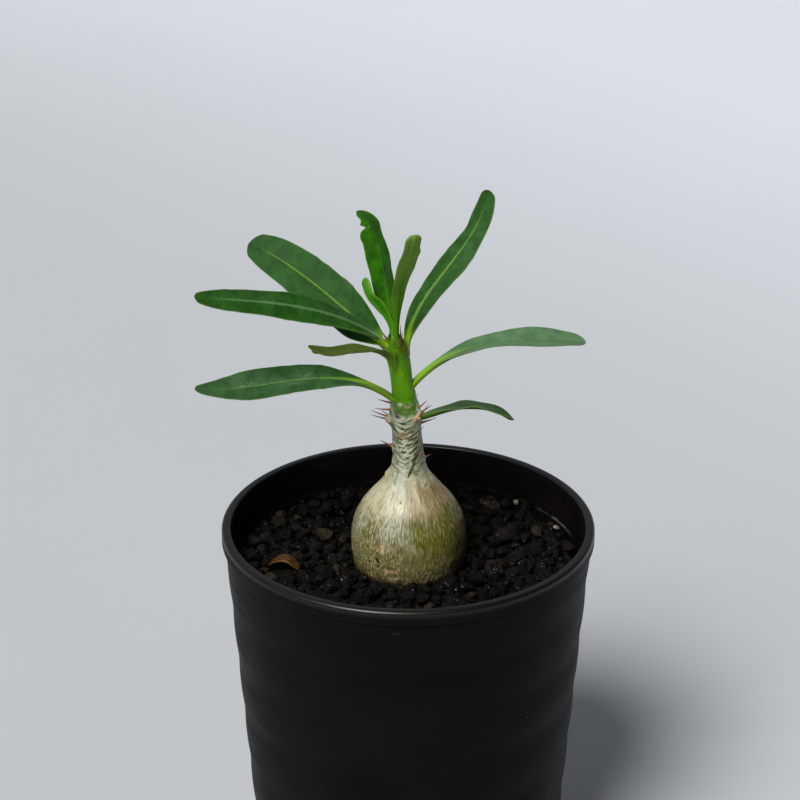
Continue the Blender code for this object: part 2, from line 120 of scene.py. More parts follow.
def noise(points: Array, cell: float, seed: int = 0) -> Array:
    """Smooth random values between -1 and 1, the same on every run.

    Args:
        points: places, three numbers each.
        cell: the size of one bump, in the units of points.
        seed: picks another pattern.

    Returns:
        One value for each point.
    """
    spot = np.asarray(points, float) / cell
    base = np.floor(spot).astype(np.int64)
    part = spot - base
    part = part * part * (3 - 2 * part)
    total = np.zeros(spot.shape[:-1])
    for corner in itertools.product((0, 1), repeat=3):
        key = ((base + corner) * np.array((73856093, 19349663, 83492791))).sum(-1) + seed * 7919
        key = (key ^ (key >> 13)) * 1274126177
        value = ((key ^ (key >> 16)) & 0xFFFF) / 32767.5 - 1
        weight = np.where(np.array(corner) == 1, part, 1 - part).prod(-1)
        total += value * weight
    return total


def fractal(points: Array, cell: float, seed: int = 0, octaves: int = 3) -> Array:
    """Noise with finer and fainter copies of itself added.

    Args:
        points: places, three numbers each.
        cell: the size of the largest bumps.
        seed: picks another pattern.
        octaves: how many layers are added up.

    Returns:
        One value for each point, roughly between -1 and 1.
    """
    layers = [noise(points, cell / 2**k, seed + 31 * k) / 2**k for k in range(octaves)]
    return sum(layers) / (2 - 2 ** (1 - octaves))


def grid_faces(rows: int, columns: int, closed: bool) -> Array:
    """Quads over points that are laid out row by row.

    Args:
        rows: how many rows of points there are.
        columns: how many points a row has.
        closed: whether the last column joins the first.

    Returns:
        Four point numbers for each quad.
    """
    across = np.arange(columns if closed else columns - 1)
    row = np.arange(rows - 1)[:, None] * columns
    after = (across + 1) % columns
    quads = (row + across, row + after, row + columns + after, row + columns + across)
    return np.stack(quads, -1).reshape(-1, 4)


def full_turn(sides: int) -> Array:
    """Even angles round the axis in radians, from zero up to the last before a whole turn."""
    return np.arange(sides) / sides * math.tau


def on_circles(radius: Array, angle: Array, height: Array) -> Array:
    """Points round the upright axis, in the shape that the three arrays take together.

    Args:
        radius: how far from the axis.
        angle: the direction in radians.
        height: the height.

    Returns:
        Three numbers for each point.
    """
    across, deep = radius * np.cos(angle), radius * np.sin(angle)
    return np.stack(np.broadcast_arrays(across, deep, height), -1)


def past(angle: Array, bearing: float | Array) -> Array:
    """How far an angle in radians is past a bearing in degrees, within half a turn either way."""
    return (angle - np.radians(bearing) + math.pi) % math.tau - math.pi


def degrees_off(bearing: Array, middle: float) -> Array:
    """How many degrees a bearing is from a middle one, the shorter way round."""
    return np.abs((bearing - middle + 180) % 360 - 180)


def ball(subdivisions: int) -> tuple[Array, Array]:
    """A ball of even triangles with radius one.

    Args:
        subdivisions: Blender's icosphere subdivisions.

    Returns:
        Its points and its triangles.
    """
    work = bmesh.new()
    bmesh.ops.create_icosphere(work, subdivisions=subdivisions, radius=1.0)
    points = np.array([vert.co for vert in work.verts])
    faces = np.array([[vert.index for vert in face.verts] for face in work.faces])
    work.free()
    return points, faces


def axes_of(bearing: float, rise: float) -> tuple[Array, Array, Array]:
    """A direction from its compass bearing and rise, with two directions square to it.

    Args:
        bearing: degrees from +X towards +Y.
        rise: degrees above the horizontal.

    Returns:
        The direction, the sideways direction and the upward one.
    """
    turn, lift = math.radians(bearing), math.radians(rise)
    along = np.array((math.cos(lift) * math.cos(turn), math.cos(lift) * math.sin(turn), math.sin(lift)))
    side = np.array((math.sin(turn), -math.cos(turn), 0.0))
    return along, side, np.cross(side, along)


# Helpers for meshes and materials


@dataclass
class Piece:
    """One mesh of the visual model on its way into Blender.

    Points are in mm. Traits are named numbers for each point, which the finishes read.
    """

    name: str
    slot: str
    stands_for: str
    points: list[Array] = field(default_factory=list)
    faces: list[Sequence[int]] = field(default_factory=list)
    traits: dict[str, list[Array]] = field(default_factory=dict)
    sharp_angle: float = 180.0

    def add(self, points: Array, faces: Array, **traits: Any) -> None:
        """Adds a set of points with their faces.

        Args:
            points: places in mm, in a list or a grid.
            faces: point numbers within this set.
            traits: a number for each point, or one for them all.
        """
        start = sum(len(block) for block in self.points)
        self.points.append(points.reshape(-1, 3))
        self.faces += (np.asarray(faces) + start).tolist()
        for name, value in traits.items():
            found = np.broadcast_to(np.ravel(value), len(self.points[-1]))
            self.traits.setdefault(name, []).append(found)

    def cap(self, rows: int, columns: int) -> None:
        """Closes the first and the last row of a grid that is the piece's only set of points.

        Args:
            rows: how many rows of points the grid has.
            columns: how many points a row has.
        """
        self.faces.append(list(range(columns))[::-1])
        self.faces.append([(rows - 1) * columns + i for i in range(columns)])

    def add_slab(self, upper: Array, lower: Array, **traits: Array) -> None:
        """Adds a closed slab as the piece's only set of points, with an under trait of its own.

        Args:
            upper: its upper face as a grid of points.
            lower: its lower face, point for point below the upper one.
            traits: a number for each point of the upper face, and for the one below it.
        """
        ring = np.concatenate([upper, lower[:, ::-1]], 1)
        rows, columns = ring.shape[:2]
        doubled = {name: np.concatenate([value, value[:, ::-1]], 1) for name, value in traits.items()}
        under = np.broadcast_to(np.arange(columns) >= columns // 2, (rows, columns))
        self.add(ring, grid_faces(rows, columns, True), under=under, **doubled)
        self.cap(rows, columns)

    def place(self, finish: Material) -> bpy.types.Object:
        """Makes the Blender object, which rides on the body and stands for its CAD node.

        Args:
            finish: the material of the whole piece.

        Returns:
            The new object.
        """
        mesh = bpy.data.meshes.new(self.name)
        mesh.from_pydata((np.concatenate(self.points) * MM).tolist(), [], self.faces)
        work = bmesh.new()
        work.from_mesh(mesh)
        bmesh.ops.recalc_face_normals(work, faces=work.faces)
        work.to_mesh(mesh)
        work.free()
        for name, blocks in self.traits.items():
            trait = mesh.attributes.new(name, "FLOAT", "POINT")
            trait.data.foreach_set("value", np.concatenate(blocks).astype(np.float32))
        mesh.shade_smooth()
        if self.sharp_angle < 180:
            mesh.set_sharp_from_angle(angle=math.radians(self.sharp_angle))
        mesh.materials.append(finish)
        obj = bpy.data.objects.new(self.name, mesh)
        bpy.context.scene.collection.objects.link(obj)
        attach(obj, BODY)
        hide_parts(self.stands_for)
        LOG.info("%s: %d points, %d faces", self.name, len(mesh.vertices), len(mesh.polygons))
        return obj


def add_node(tree: bpy.types.NodeTree, kind: str, *feeds: Feed, out: str | int = 0,
             **settings: Any) -> Socket:
    """Adds one shader node with its settings and links.

    A feed is the socket to link, a number, a hex colour, or None to leave the input as it is.

    Args:
        tree: the material's node tree.
        kind: the node's type, without its ShaderNode start.
        feeds: what goes into the inputs, in their order.
        out: the output to hand back.
        settings: the node's own properties, and feeds for inputs by their names.

    Returns:
        The chosen output's socket.
    """
    made = tree.nodes.new("ShaderNode" + kind)
    inputs = list(zip(made.inputs, feeds))
    for name, value in settings.items():
        if hasattr(made, name):
            setattr(made, name, value)
        else:
            inputs.append((made.inputs[name], value))
    for socket, feed in inputs:
        if isinstance(feed, bpy.types.NodeSocket):
            tree.links.new(feed, socket)
        elif feed is not None:
            socket.default_value = linear(feed) if isinstance(feed, str) else feed
    return made.outputs[out]


def per_size(size: float) -> float:
    """The scale of a texture node whose features are this many mm across."""
    return 1 / (size * MM)


class Recipe:
    """A material's node tree while it is being put together."""

    def __init__(self, name: str, **constants: float) -> None:
        """Starts a material with only its Principled shader.

        Args:
            name: the material's name.
            constants: shader inputs that are the same all over, by their names with _ for a blank.
        """
        self.material = bpy.data.materials.new(name)
        self.material.use_nodes = True
        tree = self.material.node_tree
        self.links = tree.links
        self.inputs = tree.nodes["Principled BSDF"].inputs
        self.node = partial(add_node, tree)
        for key, value in constants.items():
            self.inputs[key.replace("_", " ")].default_value = value

    def finish(self, *relief: tuple[Socket, float], **sockets: Socket) -> Material:
        """Links the shader's inputs and hands the material over.

        Args:
            relief: bump layers, each a height socket and its depth in mm.
            sockets: what feeds the shader's inputs, by their names with _ for a blank.

        Returns:
            The finished material.
        """
        below = None
        for height, depth in relief:
            below = self.node("Bump", Height=height, Distance=depth * MM, Normal=below)
        if below:
            sockets["Normal"] = below
        for key, socket in sockets.items():
            self.links.new(socket, self.inputs[key.replace("_", " ")])
        return self.material


# Finishes


@dataclass(frozen=True)
class MouldedPolypropylene:
    """Black polypropylene from an injection mould with a brushed, slightly satin face.

    It gives the eye a near-black body, soft cool highlights on the lip, faint rings round the wall,
    a few pale scuffs, the odd speck of dust and a grey lime line where the residue trait is up.
    """

    body: str = "#0f0c0a"
    worn: str = "#1b1815"
    lip: str = "#0a0b0d"
    dust: str = "#8d8a82"
    residue: str = "#767c80"
    ior: float = 1.49
    specular: Pair = (0.06, 0.46)
    roughness: Pair = (0.46, 0.58)
    lip_roughness: float = 0.34
    lip_start: Pair = (0.0979, 0.0996)
    residue_strength: float = 0.85
    haze_size: float = 16.0
    ring_height: float = 0.7
    ring_stretch: Triple = (0.03, 0.03, 1.0)
    ring_depth: float = 0.014
    dust_spacing: float = 5.5
    dust_size: float = 0.16
    dust_patch: float = 9.0
    scuff_height: float = 1.6
    scuff_stretch: Triple = (0.25, 0.25, 1.0)
    scuff_patch: float = 22.0
    scuff_strength: float = 0.08
    grit_size: float = 0.45
    grit_depth: float = 0.006

    def material(self) -> Material:
        """Builds the material.

        Returns:
            The material.
        """
        r = Recipe("injection_moulded_polypropylene", IOR=self.ior)
        node = r.node
        place = node("TexCoord", out="Object")
        height = node("SeparateXYZ", place, out="Z")
        flat = node("Mapping", place, Scale=self.ring_stretch)
        rings = node("TexNoise", flat, Scale=per_size(self.ring_height), Detail=3.0)
        haze = node("TexNoise", place, Scale=per_size(self.haze_size), Detail=2.0)
        specks = node("TexVoronoi", place, Scale=per_size(self.dust_spacing))
        reach = self.dust_size / self.dust_spacing
        dots = node("MapRange", specks, reach, reach * 0.4, **SOFT)
        chosen = node("TexNoise", place, Scale=per_size(self.dust_patch))
        chosen = node("MapRange", chosen, 0.56, 0.62, **SOFT)
        dots = node("Math", dots, chosen, operation="MULTIPLY")
        low = node("Mapping", place, Scale=self.scuff_stretch)
        scuff = node("TexNoise", low, Scale=per_size(self.scuff_height), Detail=4.0)
        scuff = node("MapRange", scuff, 0.62, 0.80, 0.0, self.scuff_strength, **SOFT)
        where = node("TexNoise", place, Scale=per_size(self.scuff_patch))
        where = node("MapRange", where, 0.5, 0.66, **SOFT)
        scuff = node("Math", scuff, where, operation="MULTIPLY")
        hazy = node("MapRange", haze, 0.35, 0.7, 0.0, 0.35, **SOFT)
        colour = node("MixRGB", hazy, self.body, self.worn)
        on_lip = node("MapRange", height, *self.lip_start, **SOFT)
        colour = node("MixRGB", on_lip, colour, self.lip)
        colour = node("MixRGB", scuff, colour, self.dust)
        lime = node("Attribute", attribute_name="residue", out="Fac")
        lime = node("Math", lime, self.residue_strength, operation="MULTIPLY")
        colour = node("MixRGB", lime, colour, self.residue)
        colour = node("MixRGB", dots, colour, self.dust)
        mixed = node("Math", rings, haze, operation="ADD")
        rough = node("MapRange", mixed, 0.7, 1.3, *self.roughness, **SOFT)
        rough = node("Mix", on_lip, None, rough, self.lip_roughness)
        shine = node("MapRange", on_lip, 0.0, 1.0, *self.specular)
        # The mould's grit is about 0.1 mm, too fine to show, so it is drawn at 0.45 mm
        grit = node("TexNoise", place, Scale=per_size(self.grit_size), Detail=1.0)
        return r.finish((grit, self.grit_depth), (rings, self.ring_depth), Base_Color=colour,
                        Roughness=rough, Specular_IOR_Level=shine)


@dataclass(frozen=True)
class PottingGrit:
    """Crushed lava and bark char, broken and sieved, kept damp.

    It gives the eye black and brown-black grains with matt pores darkened as painted shade, sharp
    edges and tiny wet glints.
    Each grain's tone trait picks its shade: under 0 black, then brown, grey and pale pumice.
    """

    char: str = "#050504"
    brown: str = "#14100c"
    stone: str = "#31291e"
    pale: str = "#87857c"
    ior: float = 1.5
    specular: Pair = (0.12, 0.8)
    roughness: Pair = (0.75, 0.28)
    mottle_size: float = 1.1
    pore_size: float = 0.55
    pore_shade: float = 0.85
    pore_depth: float = 0.22
    wet_size: float = 0.5
    puddle_size: float = 4.0
    crumb_size: float = 0.3
    crumb_depth: float = 0.12

    def material(self) -> Material:
        """Builds the material.

        Returns:
            The material.
        """
        r = Recipe("crushed_lava_grit", IOR=self.ior)
        node = r.node
        place = node("TexCoord", out="Object")
        tone = node("Attribute", attribute_name="tone", out="Fac")
        mottled = node("TexNoise", place, Scale=per_size(self.mottle_size), Detail=4.0)
        colour = node("MixRGB", node("MapRange", tone, 0.0, 0.3, **SOFT), self.char, self.brown)
        colour = node("MixRGB", node("MapRange", tone, 0.35, 0.6, **SOFT), colour, self.stone)
        colour = node("MixRGB", node("MapRange", tone, 0.75, 0.95, **SOFT), colour, self.pale)
        patches = node("MapRange", mottled, 0.46, 0.68, 0.0, 0.5, **SOFT)
        colour = node("MixRGB", patches, colour, self.brown)
        # The pores are darkened as painted shade
        pores = node("TexVoronoi", place, Scale=per_size(self.pore_size))
        shade = node("MapRange", pores, 0.0, 0.4, 0.4, 1.0, **SOFT)
        colour = node("MixRGB", self.pore_shade, colour, shade, blend_type="MULTIPLY")
        # The film of water lies in specks of about 0.1 mm, drawn at 0.5 mm so that they show
        wet = node("TexNoise", place, Scale=per_size(self.wet_size), Detail=2.0)
        wet = node("MapRange", wet, 0.56, 0.68, **SOFT)
        puddled = node("TexNoise", place, Scale=per_size(self.puddle_size))
        puddled = node("MapRange", puddled, 0.48, 0.60, 0.15, 1.0, **SOFT)
        wet = node("Math", wet, puddled, operation="MULTIPLY")
        rough = node("MapRange", wet, 0.0, 1.0, *self.roughness)
        shine = node("MapRange", wet, 0.0, 1.0, *self.specular)
        crumbs = node("TexNoise", place, Scale=per_size(self.crumb_size), Detail=4.0)
        return r.finish((pores, self.pore_depth), (crumbs, self.crumb_depth), Base_Color=colour,
                        Roughness=rough, Specular_IOR_Level=shine)


@dataclass(frozen=True)
class CaudexBark:
    """The living bark of the swollen base: grown skin that stretched into fine silvery ridges.

    It gives the eye satin cream and olive under a thin net that is silver or golden, green where the
    skin is thin, seams between the neck's small plates, and corky tan scars. Painted light is laid in
    too: a silvery highlight up the front and on a few marks, and shade in the valleys between the
    ridges, on the right side, at both sides of the neck and where the base meets the mix; the net is
    partly painted highlight. The zones are traits of the mesh.
    """

    olive: str = "#7b7547"
    tan: str = "#957f58"
    cream: str = "#d2c9a4"
    silver: str = "#dbd6b6"
    gilt: str = "#c2b36c"
    sheen: str = "#d3dac8"
    green: str = "#666e1f"
    live: str = "#568a0e"
    brown: str = "#4a371a"
    mix_shadow: str = "#171109"
    cork: tuple[str, str] = ("#ac7a50", "#e6cba2")
    pit: str = "#2b1c10"
    neck: tuple[str, str] = ("#5f6a36", "#dce3c6")
    crack: str = "#3c4420"
    ior: float = 1.45
    specular: float = 0.42
    coat: float = 0.14
    coat_roughness: float = 0.28
    roughness: Pair = (0.52, 0.34)
    live_roughness: float = 0.20
    ridge_width: float = 0.36
    ridge_stretch: float = 0.22
    grain_stretch: float = 0.42
    ridge_depth: float = 0.11
    drip_width: float = 0.70
    drip_stretch: float = 0.30
    drip_reach: float = 1.5
    drip_depth: float = 0.05
    zone_edges: tuple[tuple[str, float], ...] = (("shoulder", 0.35), ("cream", 0.50), ("green", 0.55))
    blotch_size: float = 3.2
    plate_height: float = 0.60
    plate_stretch: float = 0.34
    plate_depth: float = 0.22
    seam_depth: float = -0.08

    def material(self) -> Material:
        """Builds the material.

        Returns:
            The material.
        """
        r = Recipe("silvered_caudex_bark", IOR=self.ior, Specular_IOR_Level=self.specular,
                   Coat_Weight=self.coat, Coat_Roughness=self.coat_roughness)
        node = r.node
        names = ("skin_x", "skin_y", "skin_run", "shoulder", "cream", "green", "brown", "silver",
                 "neck", "live", "soiled", "furrow", "cork", "pit", "low", "sheen", "garland")
        trait = {name: node("Attribute", attribute_name=name, out="Fac") for name in names}
        skin = node("CombineXYZ", trait["skin_x"], trait["skin_y"], trait["skin_run"])
        # The real ridges are 0.1 to 0.2 mm wide, under a pixel, so they are drawn 0.36 mm wide
        size = per_size(self.ridge_width)
        ridges = node("Mapping", skin, Scale=(1.0, 1.0, self.ridge_stretch))
        ridges = node("TexNoise", ridges, Scale=size, Detail=1.5, Distortion=0.5)
        # Low on the base the ridges are short and knit into a net
        grain = node("Mapping", skin, Scale=(1.0, 1.0, self.grain_stretch))
        grain = node("TexNoise", grain, Scale=size, Detail=1.5, Distortion=0.6)
        weave = node("Mix", trait["low"], None, ridges, grain)
        # The zones run into each other in drips along the skin
        drips = node("Mapping", skin, Scale=(1.0, 1.0, self.drip_stretch))
        drips = node("TexNoise", drips, Scale=per_size(self.drip_width), Detail=2.0, Distortion=0.4)
        middle = (1 + self.drip_reach) / 2
        for name, wide in self.zone_edges:
            torn = node("Math", drips, self.drip_reach, trait[name], operation="MULTIPLY_ADD")
            trait[name] = node("MapRange", torn, middle - wide, middle + wide, **SOFT)
        # The neck's plates hang in garlands and are about 1.8 mm wide and 0.6 mm tall
        stretch = (self.plate_stretch, self.plate_stretch, 1.0)
        place = node("Mapping", node("TexCoord", out="Object"), Scale=stretch)
        sides = [node("SeparateXYZ", place, out=axis) for axis in "XY"]
        aslant = node("CombineXYZ", *sides, trait["garland"])
        size = per_size(self.plate_height)
        plates = node("TexNoise", aslant, Scale=size, Detail=1.5, Distortion=0.4)
        seams = node("TexNoise", aslant, Scale=size / 2, Detail=2.0, Distortion=0.8)
        seams = node("Math", node("Math", seams, 0.48, operation="SUBTRACT"), operation="ABSOLUTE")
        seams = node("MapRange", seams, 0.030, 0.006, **SOFT)
        blotch = node("TexNoise", skin, Scale=per_size(self.blotch_size), Detail=3.0)
        colour = self.olive
        # The brown trait holds painted shade on the right side and at the neck's sides, with the real
        # stains
        layers = {"shoulder": self.tan, "cream": self.cream, "green": self.green, "brown": self.brown}
        for name, shade in layers.items():
            colour = node("MixRGB", trait[name], colour, shade)
        cloudy = node("MapRange", blotch, 0.3, 0.62, 0.34, 0.0, **SOFT)
        colour = node("MixRGB", cloudy, colour, self.brown)
        # The pale net on the ridge crests is the skin's silver, and partly painted highlight
        dashes = node("MapRange", weave, 0.47, 0.66, 0.0, 0.8, **SOFT)
        dashes = node("Math", dashes, trait["silver"], operation="MULTIPLY")
        # Where the skin is thin or low, the ridges are golden rather than silver
        golden = node("Math", trait["low"], 0.55, trait["green"], operation="MULTIPLY_ADD")
        colour = node("MixRGB", dashes, colour, node("MixRGB", golden, self.silver, self.gilt))
        # Painted shade darkens the valleys between the ridges
        valley_shade = node("MapRange", weave, 0.50, 0.36, 0.0, 0.5, **SOFT)
        valley_shade = node("Math", valley_shade, trait["silver"], operation="MULTIPLY")
        colour = node("MixRGB", valley_shade, colour, self.brown)
        pale = node("MapRange", plates, 0.38, 0.56, **SOFT)
        colour = node("MixRGB", trait["neck"], colour, node("MixRGB", pale, *self.neck))
        # On the neck brown is laid again: painted shade at its sides and the stain marks
        aged = node("Math", trait["neck"], trait["brown"], operation="MULTIPLY")
        colour = node("MixRGB", aged, colour, self.brown)
        thin = node("MapRange", pale, 0.0, 1.0, 1.0, 0.90)
        thin = node("Math", thin, trait["live"], operation="MULTIPLY")
        colour = node("MixRGB", thin, colour, self.live)
        on_neck = node("Math", seams, trait["neck"], operation="MULTIPLY")
        strength = node("MapRange", blotch, 0.35, 0.6, 0.1, 0.7, **SOFT)
        on_neck = node("Math", on_neck, strength, operation="MULTIPLY")
        colour = node("MixRGB", on_neck, colour, self.crack)
        # Painted highlight: a pale silvery streak and patches laid over the front
        shining = node("MapRange", weave, 0.38, 0.58, 0.3, 1.0, **SOFT)
        shining = node("Math", shining, trait["sheen"], operation="MULTIPLY")
        colour = node("MixRGB", shining, colour, self.sheen)
        flaky = node("MapRange", drips, 0.34, 0.52, **SOFT)
        colour = node("MixRGB", trait["cork"], colour, node("MixRGB", flaky, *self.cork))
        # Cracks and pits are real marks; the base is darkened where it meets the mix as painted shade
        layers = {"furrow": self.crack, "pit": self.pit, "soiled": self.mix_shadow}
        for name, shade in layers.items():
            colour = node("MixRGB", trait[name], colour, shade)
        rough = node("MapRange", weave, 0.35, 0.65, *self.roughness, **SOFT)
        rough = node("Mix", trait["live"], None, rough, self.live_roughness)
        plated = node("Math", plates, trait["neck"], operation="MULTIPLY")
        return r.finish((weave, self.ridge_depth), (drips, self.drip_depth),
                        (on_neck, self.seam_depth), (plated, self.plate_depth),
                        Base_Color=colour, Roughness=rough)


@dataclass(frozen=True)
class GreenShoot:
    """The shoot's live green skin, grown this season: smooth, waxy and a little translucent.

    It gives the eye a bright even green, with darker green painted as shade round the stalks' feet,
    among the leaves and above the collar, and soft highlights.
    """

    fresh: str = "#72bc00"
    deep: str = "#365f06"
    stain: str = "#4d2c14"
    ior: float = 1.45
    specular: float = 0.2
    glow: float = 0.06
    glow_reach: float = 2.0
    roughness: Pair = (0.34, 0.44)
    line_width: float = 0.5
    line_stretch: float = 0.12
    line_shade: float = 0.16
    line_depth: float = 0.02

    def material(self) -> Material:
        """Builds the material.

        Returns:
            The material.
        """
        r = Recipe("live_green_shoot", IOR=self.ior, Specular_IOR_Level=self.specular,
                   Subsurface_Weight=self.glow, Subsurface_Scale=self.glow_reach * MM)
        node = r.node
        place = node("TexCoord", out="Object")
        tall = node("Mapping", place, Scale=(1.0, 1.0, self.line_stretch))
        lines = node("TexNoise", tall, Scale=per_size(self.line_width), Detail=2.0)
        # The deep trait is painted shade, laid in darker green
        deep = node("Attribute", attribute_name="deep", out="Fac")
        colour = node("MixRGB", deep, self.fresh, self.deep)
        shaded = node("MapRange", lines, 0.35, 0.7, self.line_shade, 0.0, **SOFT)
        colour = node("MixRGB", shaded, colour, self.deep)
        stain = node("Attribute", attribute_name="stain", out="Fac")
        colour = node("MixRGB", stain, colour, self.stain)
        rough = node("MapRange", lines, 0.3, 0.7, *self.roughness, **SOFT)
        return r.finish((lines, self.line_depth), Base_Color=colour, Roughness=rough)


@dataclass(frozen=True)
class SpineWood:
    """Spines and dried stipules: hard, woody points with a dull waxed skin.

    They give the eye an orange-tan foot that darkens to a red-brown tip.
    """

    foot: str = "#c9824c"
    middle: str = "#7d4128"
    tip: str = "#2e160e"
    dry: str = "#3c2012"
    ior: float = 1.5
    specular: float = 0.4
    roughness: Pair = (0.42, 0.6)
    wax_patch: float = 0.4
    grain_size: float = 0.3
    grain_depth: float = 0.03

    def material(self) -> Material:
        """Builds the material.

        Returns:
            The material.
        """
        r = Recipe("woody_spine", IOR=self.ior, Specular_IOR_Level=self.specular)
        node = r.node
        place = node("TexCoord", out="Object")
        along = node("Attribute", attribute_name="spine_share", out="Fac")
        aged = node("Attribute", attribute_name="aged", out="Fac")
        colour = node("MixRGB", node("MapRange", along, 0.15, 0.55, **SOFT), self.foot, self.middle)
        colour = node("MixRGB", node("MapRange", along, 0.55, 0.95, **SOFT), colour, self.tip)
        colour = node("MixRGB", aged, colour, self.dry)
        waxed = node("TexNoise", place, Scale=per_size(self.wax_patch))
        rough = node("MapRange", waxed, 0.3, 0.7, *self.roughness, **SOFT)
        grain = node("Mapping", place, Scale=(1.0, 1.0, 2.0))
        grain = node("TexNoise", grain, Scale=per_size(self.grain_size))
        return r.finish((grain, self.grain_depth), Base_Color=colour, Roughness=rough)


@dataclass(frozen=True)
class LeafBlade:
    """A succulent leaf's waxed skin, grown smooth over a pale rib.

    It gives the eye a finely grained green face, a thin pale rib that fades towards the tip, a
    hairline of paler margin, a duller back and a yellow-green stalk.
    """

    face: str = "#376032"
    shade: str = "#294d25"
    rib: str = "#628f40"
    margin: str = "#6d8a3a"
    back: str = "#4a6f30"
    stalk: str = "#88ba16"
    bloom: str = "#8fa38a"
    rib_strength: float = 0.65
    specular: float = 0.35
    gloss: Pair = (0.36, 0.50)
    ior: float = 1.45
    rib_half_width: Pair = (0.50, 0.16)
    kink_size: float = 1.3
    vein_strength: float = 0.04
    vein_spacing: float = 2.3
    vein_lean: float = 0.5
    vein_drift: float = 1.6
    drift_size: float = 4.0
    blotch_size: float = 3.4
    blotch_depth: float = 0.06
    cell_size: float = 0.42
    cell_depth: float = 0.015

    def material(self, name: str) -> Material:
        """Builds the material.

        Args:
            name: the leaf's name, which the material's name takes up.

        Returns:
            The material.
        """
        r = Recipe("waxed_skin_" + name, IOR=self.ior, Specular_IOR_Level=self.specular)
        node = r.node
        names = ("across", "edge", "along", "run", "stalk", "under", "scuff")
        trait = {key: node("Attribute", attribute_name=key, out="Fac") for key in names}
        place = node("TexCoord", out="Object")
        away = node("Math", trait["across"], operation="ABSOLUTE")
        rib_half = node("MapRange", trait["along"], 0.05, 1.0, *self.rib_half_width)
        kinks = node("TexNoise", place, Scale=per_size(self.kink_size))
        kinks = node("MapRange", kinks, 0.3, 0.7, 0.7, 1.3)
        rib_half = node("Math", rib_half, kinks, operation="MULTIPLY")
        rib = node("MapRange", node("Math", away, rib_half, operation="DIVIDE"), 1.0, 0.2, **SOFT)
        fade = node("MapRange", trait["along"], 0.97, 0.78, **SOFT)
        rib = node("Math", rib, fade, operation="MULTIPLY")
        # Side veins leave the rib every 2.3 mm and lean towards the tip
        lean = node("Math", away, self.vein_lean, operation="MULTIPLY")
        drift = node("TexNoise", place, Scale=per_size(self.drift_size))
        drift = node("Math", drift, self.vein_drift, operation="MULTIPLY")
        phase = node("Math", trait["run"], lean, operation="SUBTRACT")
        phase = node("Math", phase, drift, operation="ADD")
        phase = node("Math", phase, self.vein_spacing, operation="DIVIDE")
        wave = node("Math", phase, 0.5, operation="PINGPONG")
        vein = node("MapRange", wave, 0.12, 0.0, 0.0, self.vein_strength, **SOFT)
        blotch = node("TexNoise", place, Scale=per_size(self.blotch_size), Detail=4.0)
        # The skin's cells are far finer than a pixel and are drawn 0.42 mm wide
        cells = node("TexNoise", place, Scale=per_size(self.cell_size), Detail=2.0)
        colour = node("MixRGB", node("MapRange", blotch, 0.34, 0.66, **SOFT), self.shade, self.face)
        dimmed = node("MapRange", cells, 0.3, 0.7, 0.22, 0.0, **SOFT)
        colour = node("MixRGB", dimmed, colour, self.shade)
        colour = node("MixRGB", vein, colour, self.rib)
        strength = node("Math", rib, self.rib_strength, operation="MULTIPLY")
        colour = node("MixRGB", strength, colour, self.rib)
        waxed = node("MapRange", cells, 0.55, 0.75, 0.0, 0.10, **SOFT)
        colour = node("MixRGB", waxed, colour, self.bloom)
        smear = node("Math", trait["scuff"], node("MapRange", cells, 0.35, 0.7), operation="MULTIPLY")
        colour = node("MixRGB", smear, colour, self.bloom)
        back = node("MapRange", blotch, 0.3, 0.7, 0.0, 0.35, **SOFT)
        back = node("MixRGB", back, self.back, self.shade)
        back = node("MixRGB", node("Math", rib, 0.4, operation="MULTIPLY"), back, self.rib)
        colour = node("MixRGB", trait["under"], colour, back)
        hairline = node("MapRange", trait["edge"], 0.26, 0.06, 0.0, 0.45, **SOFT)
        colour = node("MixRGB", hairline, colour, self.margin)
        below = node("MapRange", trait["under"], 0.0, 1.0, 0.85, 1.0)
        below = node("Math", trait["stalk"], below, operation="MULTIPLY")
        colour = node("MixRGB", below, colour, self.stalk)
        uneven = node("Math", blotch, cells, operation="ADD")
        rough = node("MapRange", uneven, 0.7, 1.3, *self.gloss, **SOFT)
        return r.finish((blotch, self.blotch_depth), (cells, self.cell_depth), Base_Color=colour,
                        Roughness=rough)


@dataclass(frozen=True)
class DryHusk:
    """A dried plant husk, split along its fibres and weathered.

    It gives the eye golden-brown fibres with dark stripes and a dull papery shine.
    """

    gold: str = "#75511c"
    dark: str = "#2c1a0b"
    ior: float = 1.45
    specular: float = 0.3
    roughness: Pair = (0.45, 0.65)
    drift_size: float = 1.2
    drift: float = 0.35
    stain_size: float = 1.5
    paper_size: float = 0.5
    fibre_depth: float = 0.10

    def material(self) -> Material:
        """Builds the material.

        Returns:
            The material.
        """
        r = Recipe("dried_plant_husk", IOR=self.ior, Specular_IOR_Level=self.specular)
        node = r.node
        place = node("TexCoord", out="Object")
        drift = node("TexNoise", place, Scale=per_size(self.drift_size))
        drift = node("Math", drift, self.drift, operation="MULTIPLY")
        fibre = node("Attribute", attribute_name="fibre", out="Fac")
        fibre = node("Math", fibre, drift, operation="ADD")
        stripe = node("Math", fibre, 0.5, operation="PINGPONG")
        colour = node("MixRGB", node("MapRange", stripe, 0.08, 0.34, **SOFT), self.dark, self.gold)
        stains = node("TexNoise", place, Scale=per_size(self.stain_size))
        stains = node("MapRange", stains, 0.4, 0.7, 0.0, 0.5, **SOFT)
        colour = node("MixRGB", stains, colour, self.dark)
        rough = node("TexNoise", place, Scale=per_size(self.paper_size))
        rough = node("MapRange", rough, 0.3, 0.7, *self.roughness, **SOFT)
        return r.finish((stripe, self.fibre_depth), Base_Color=colour, Roughness=rough)


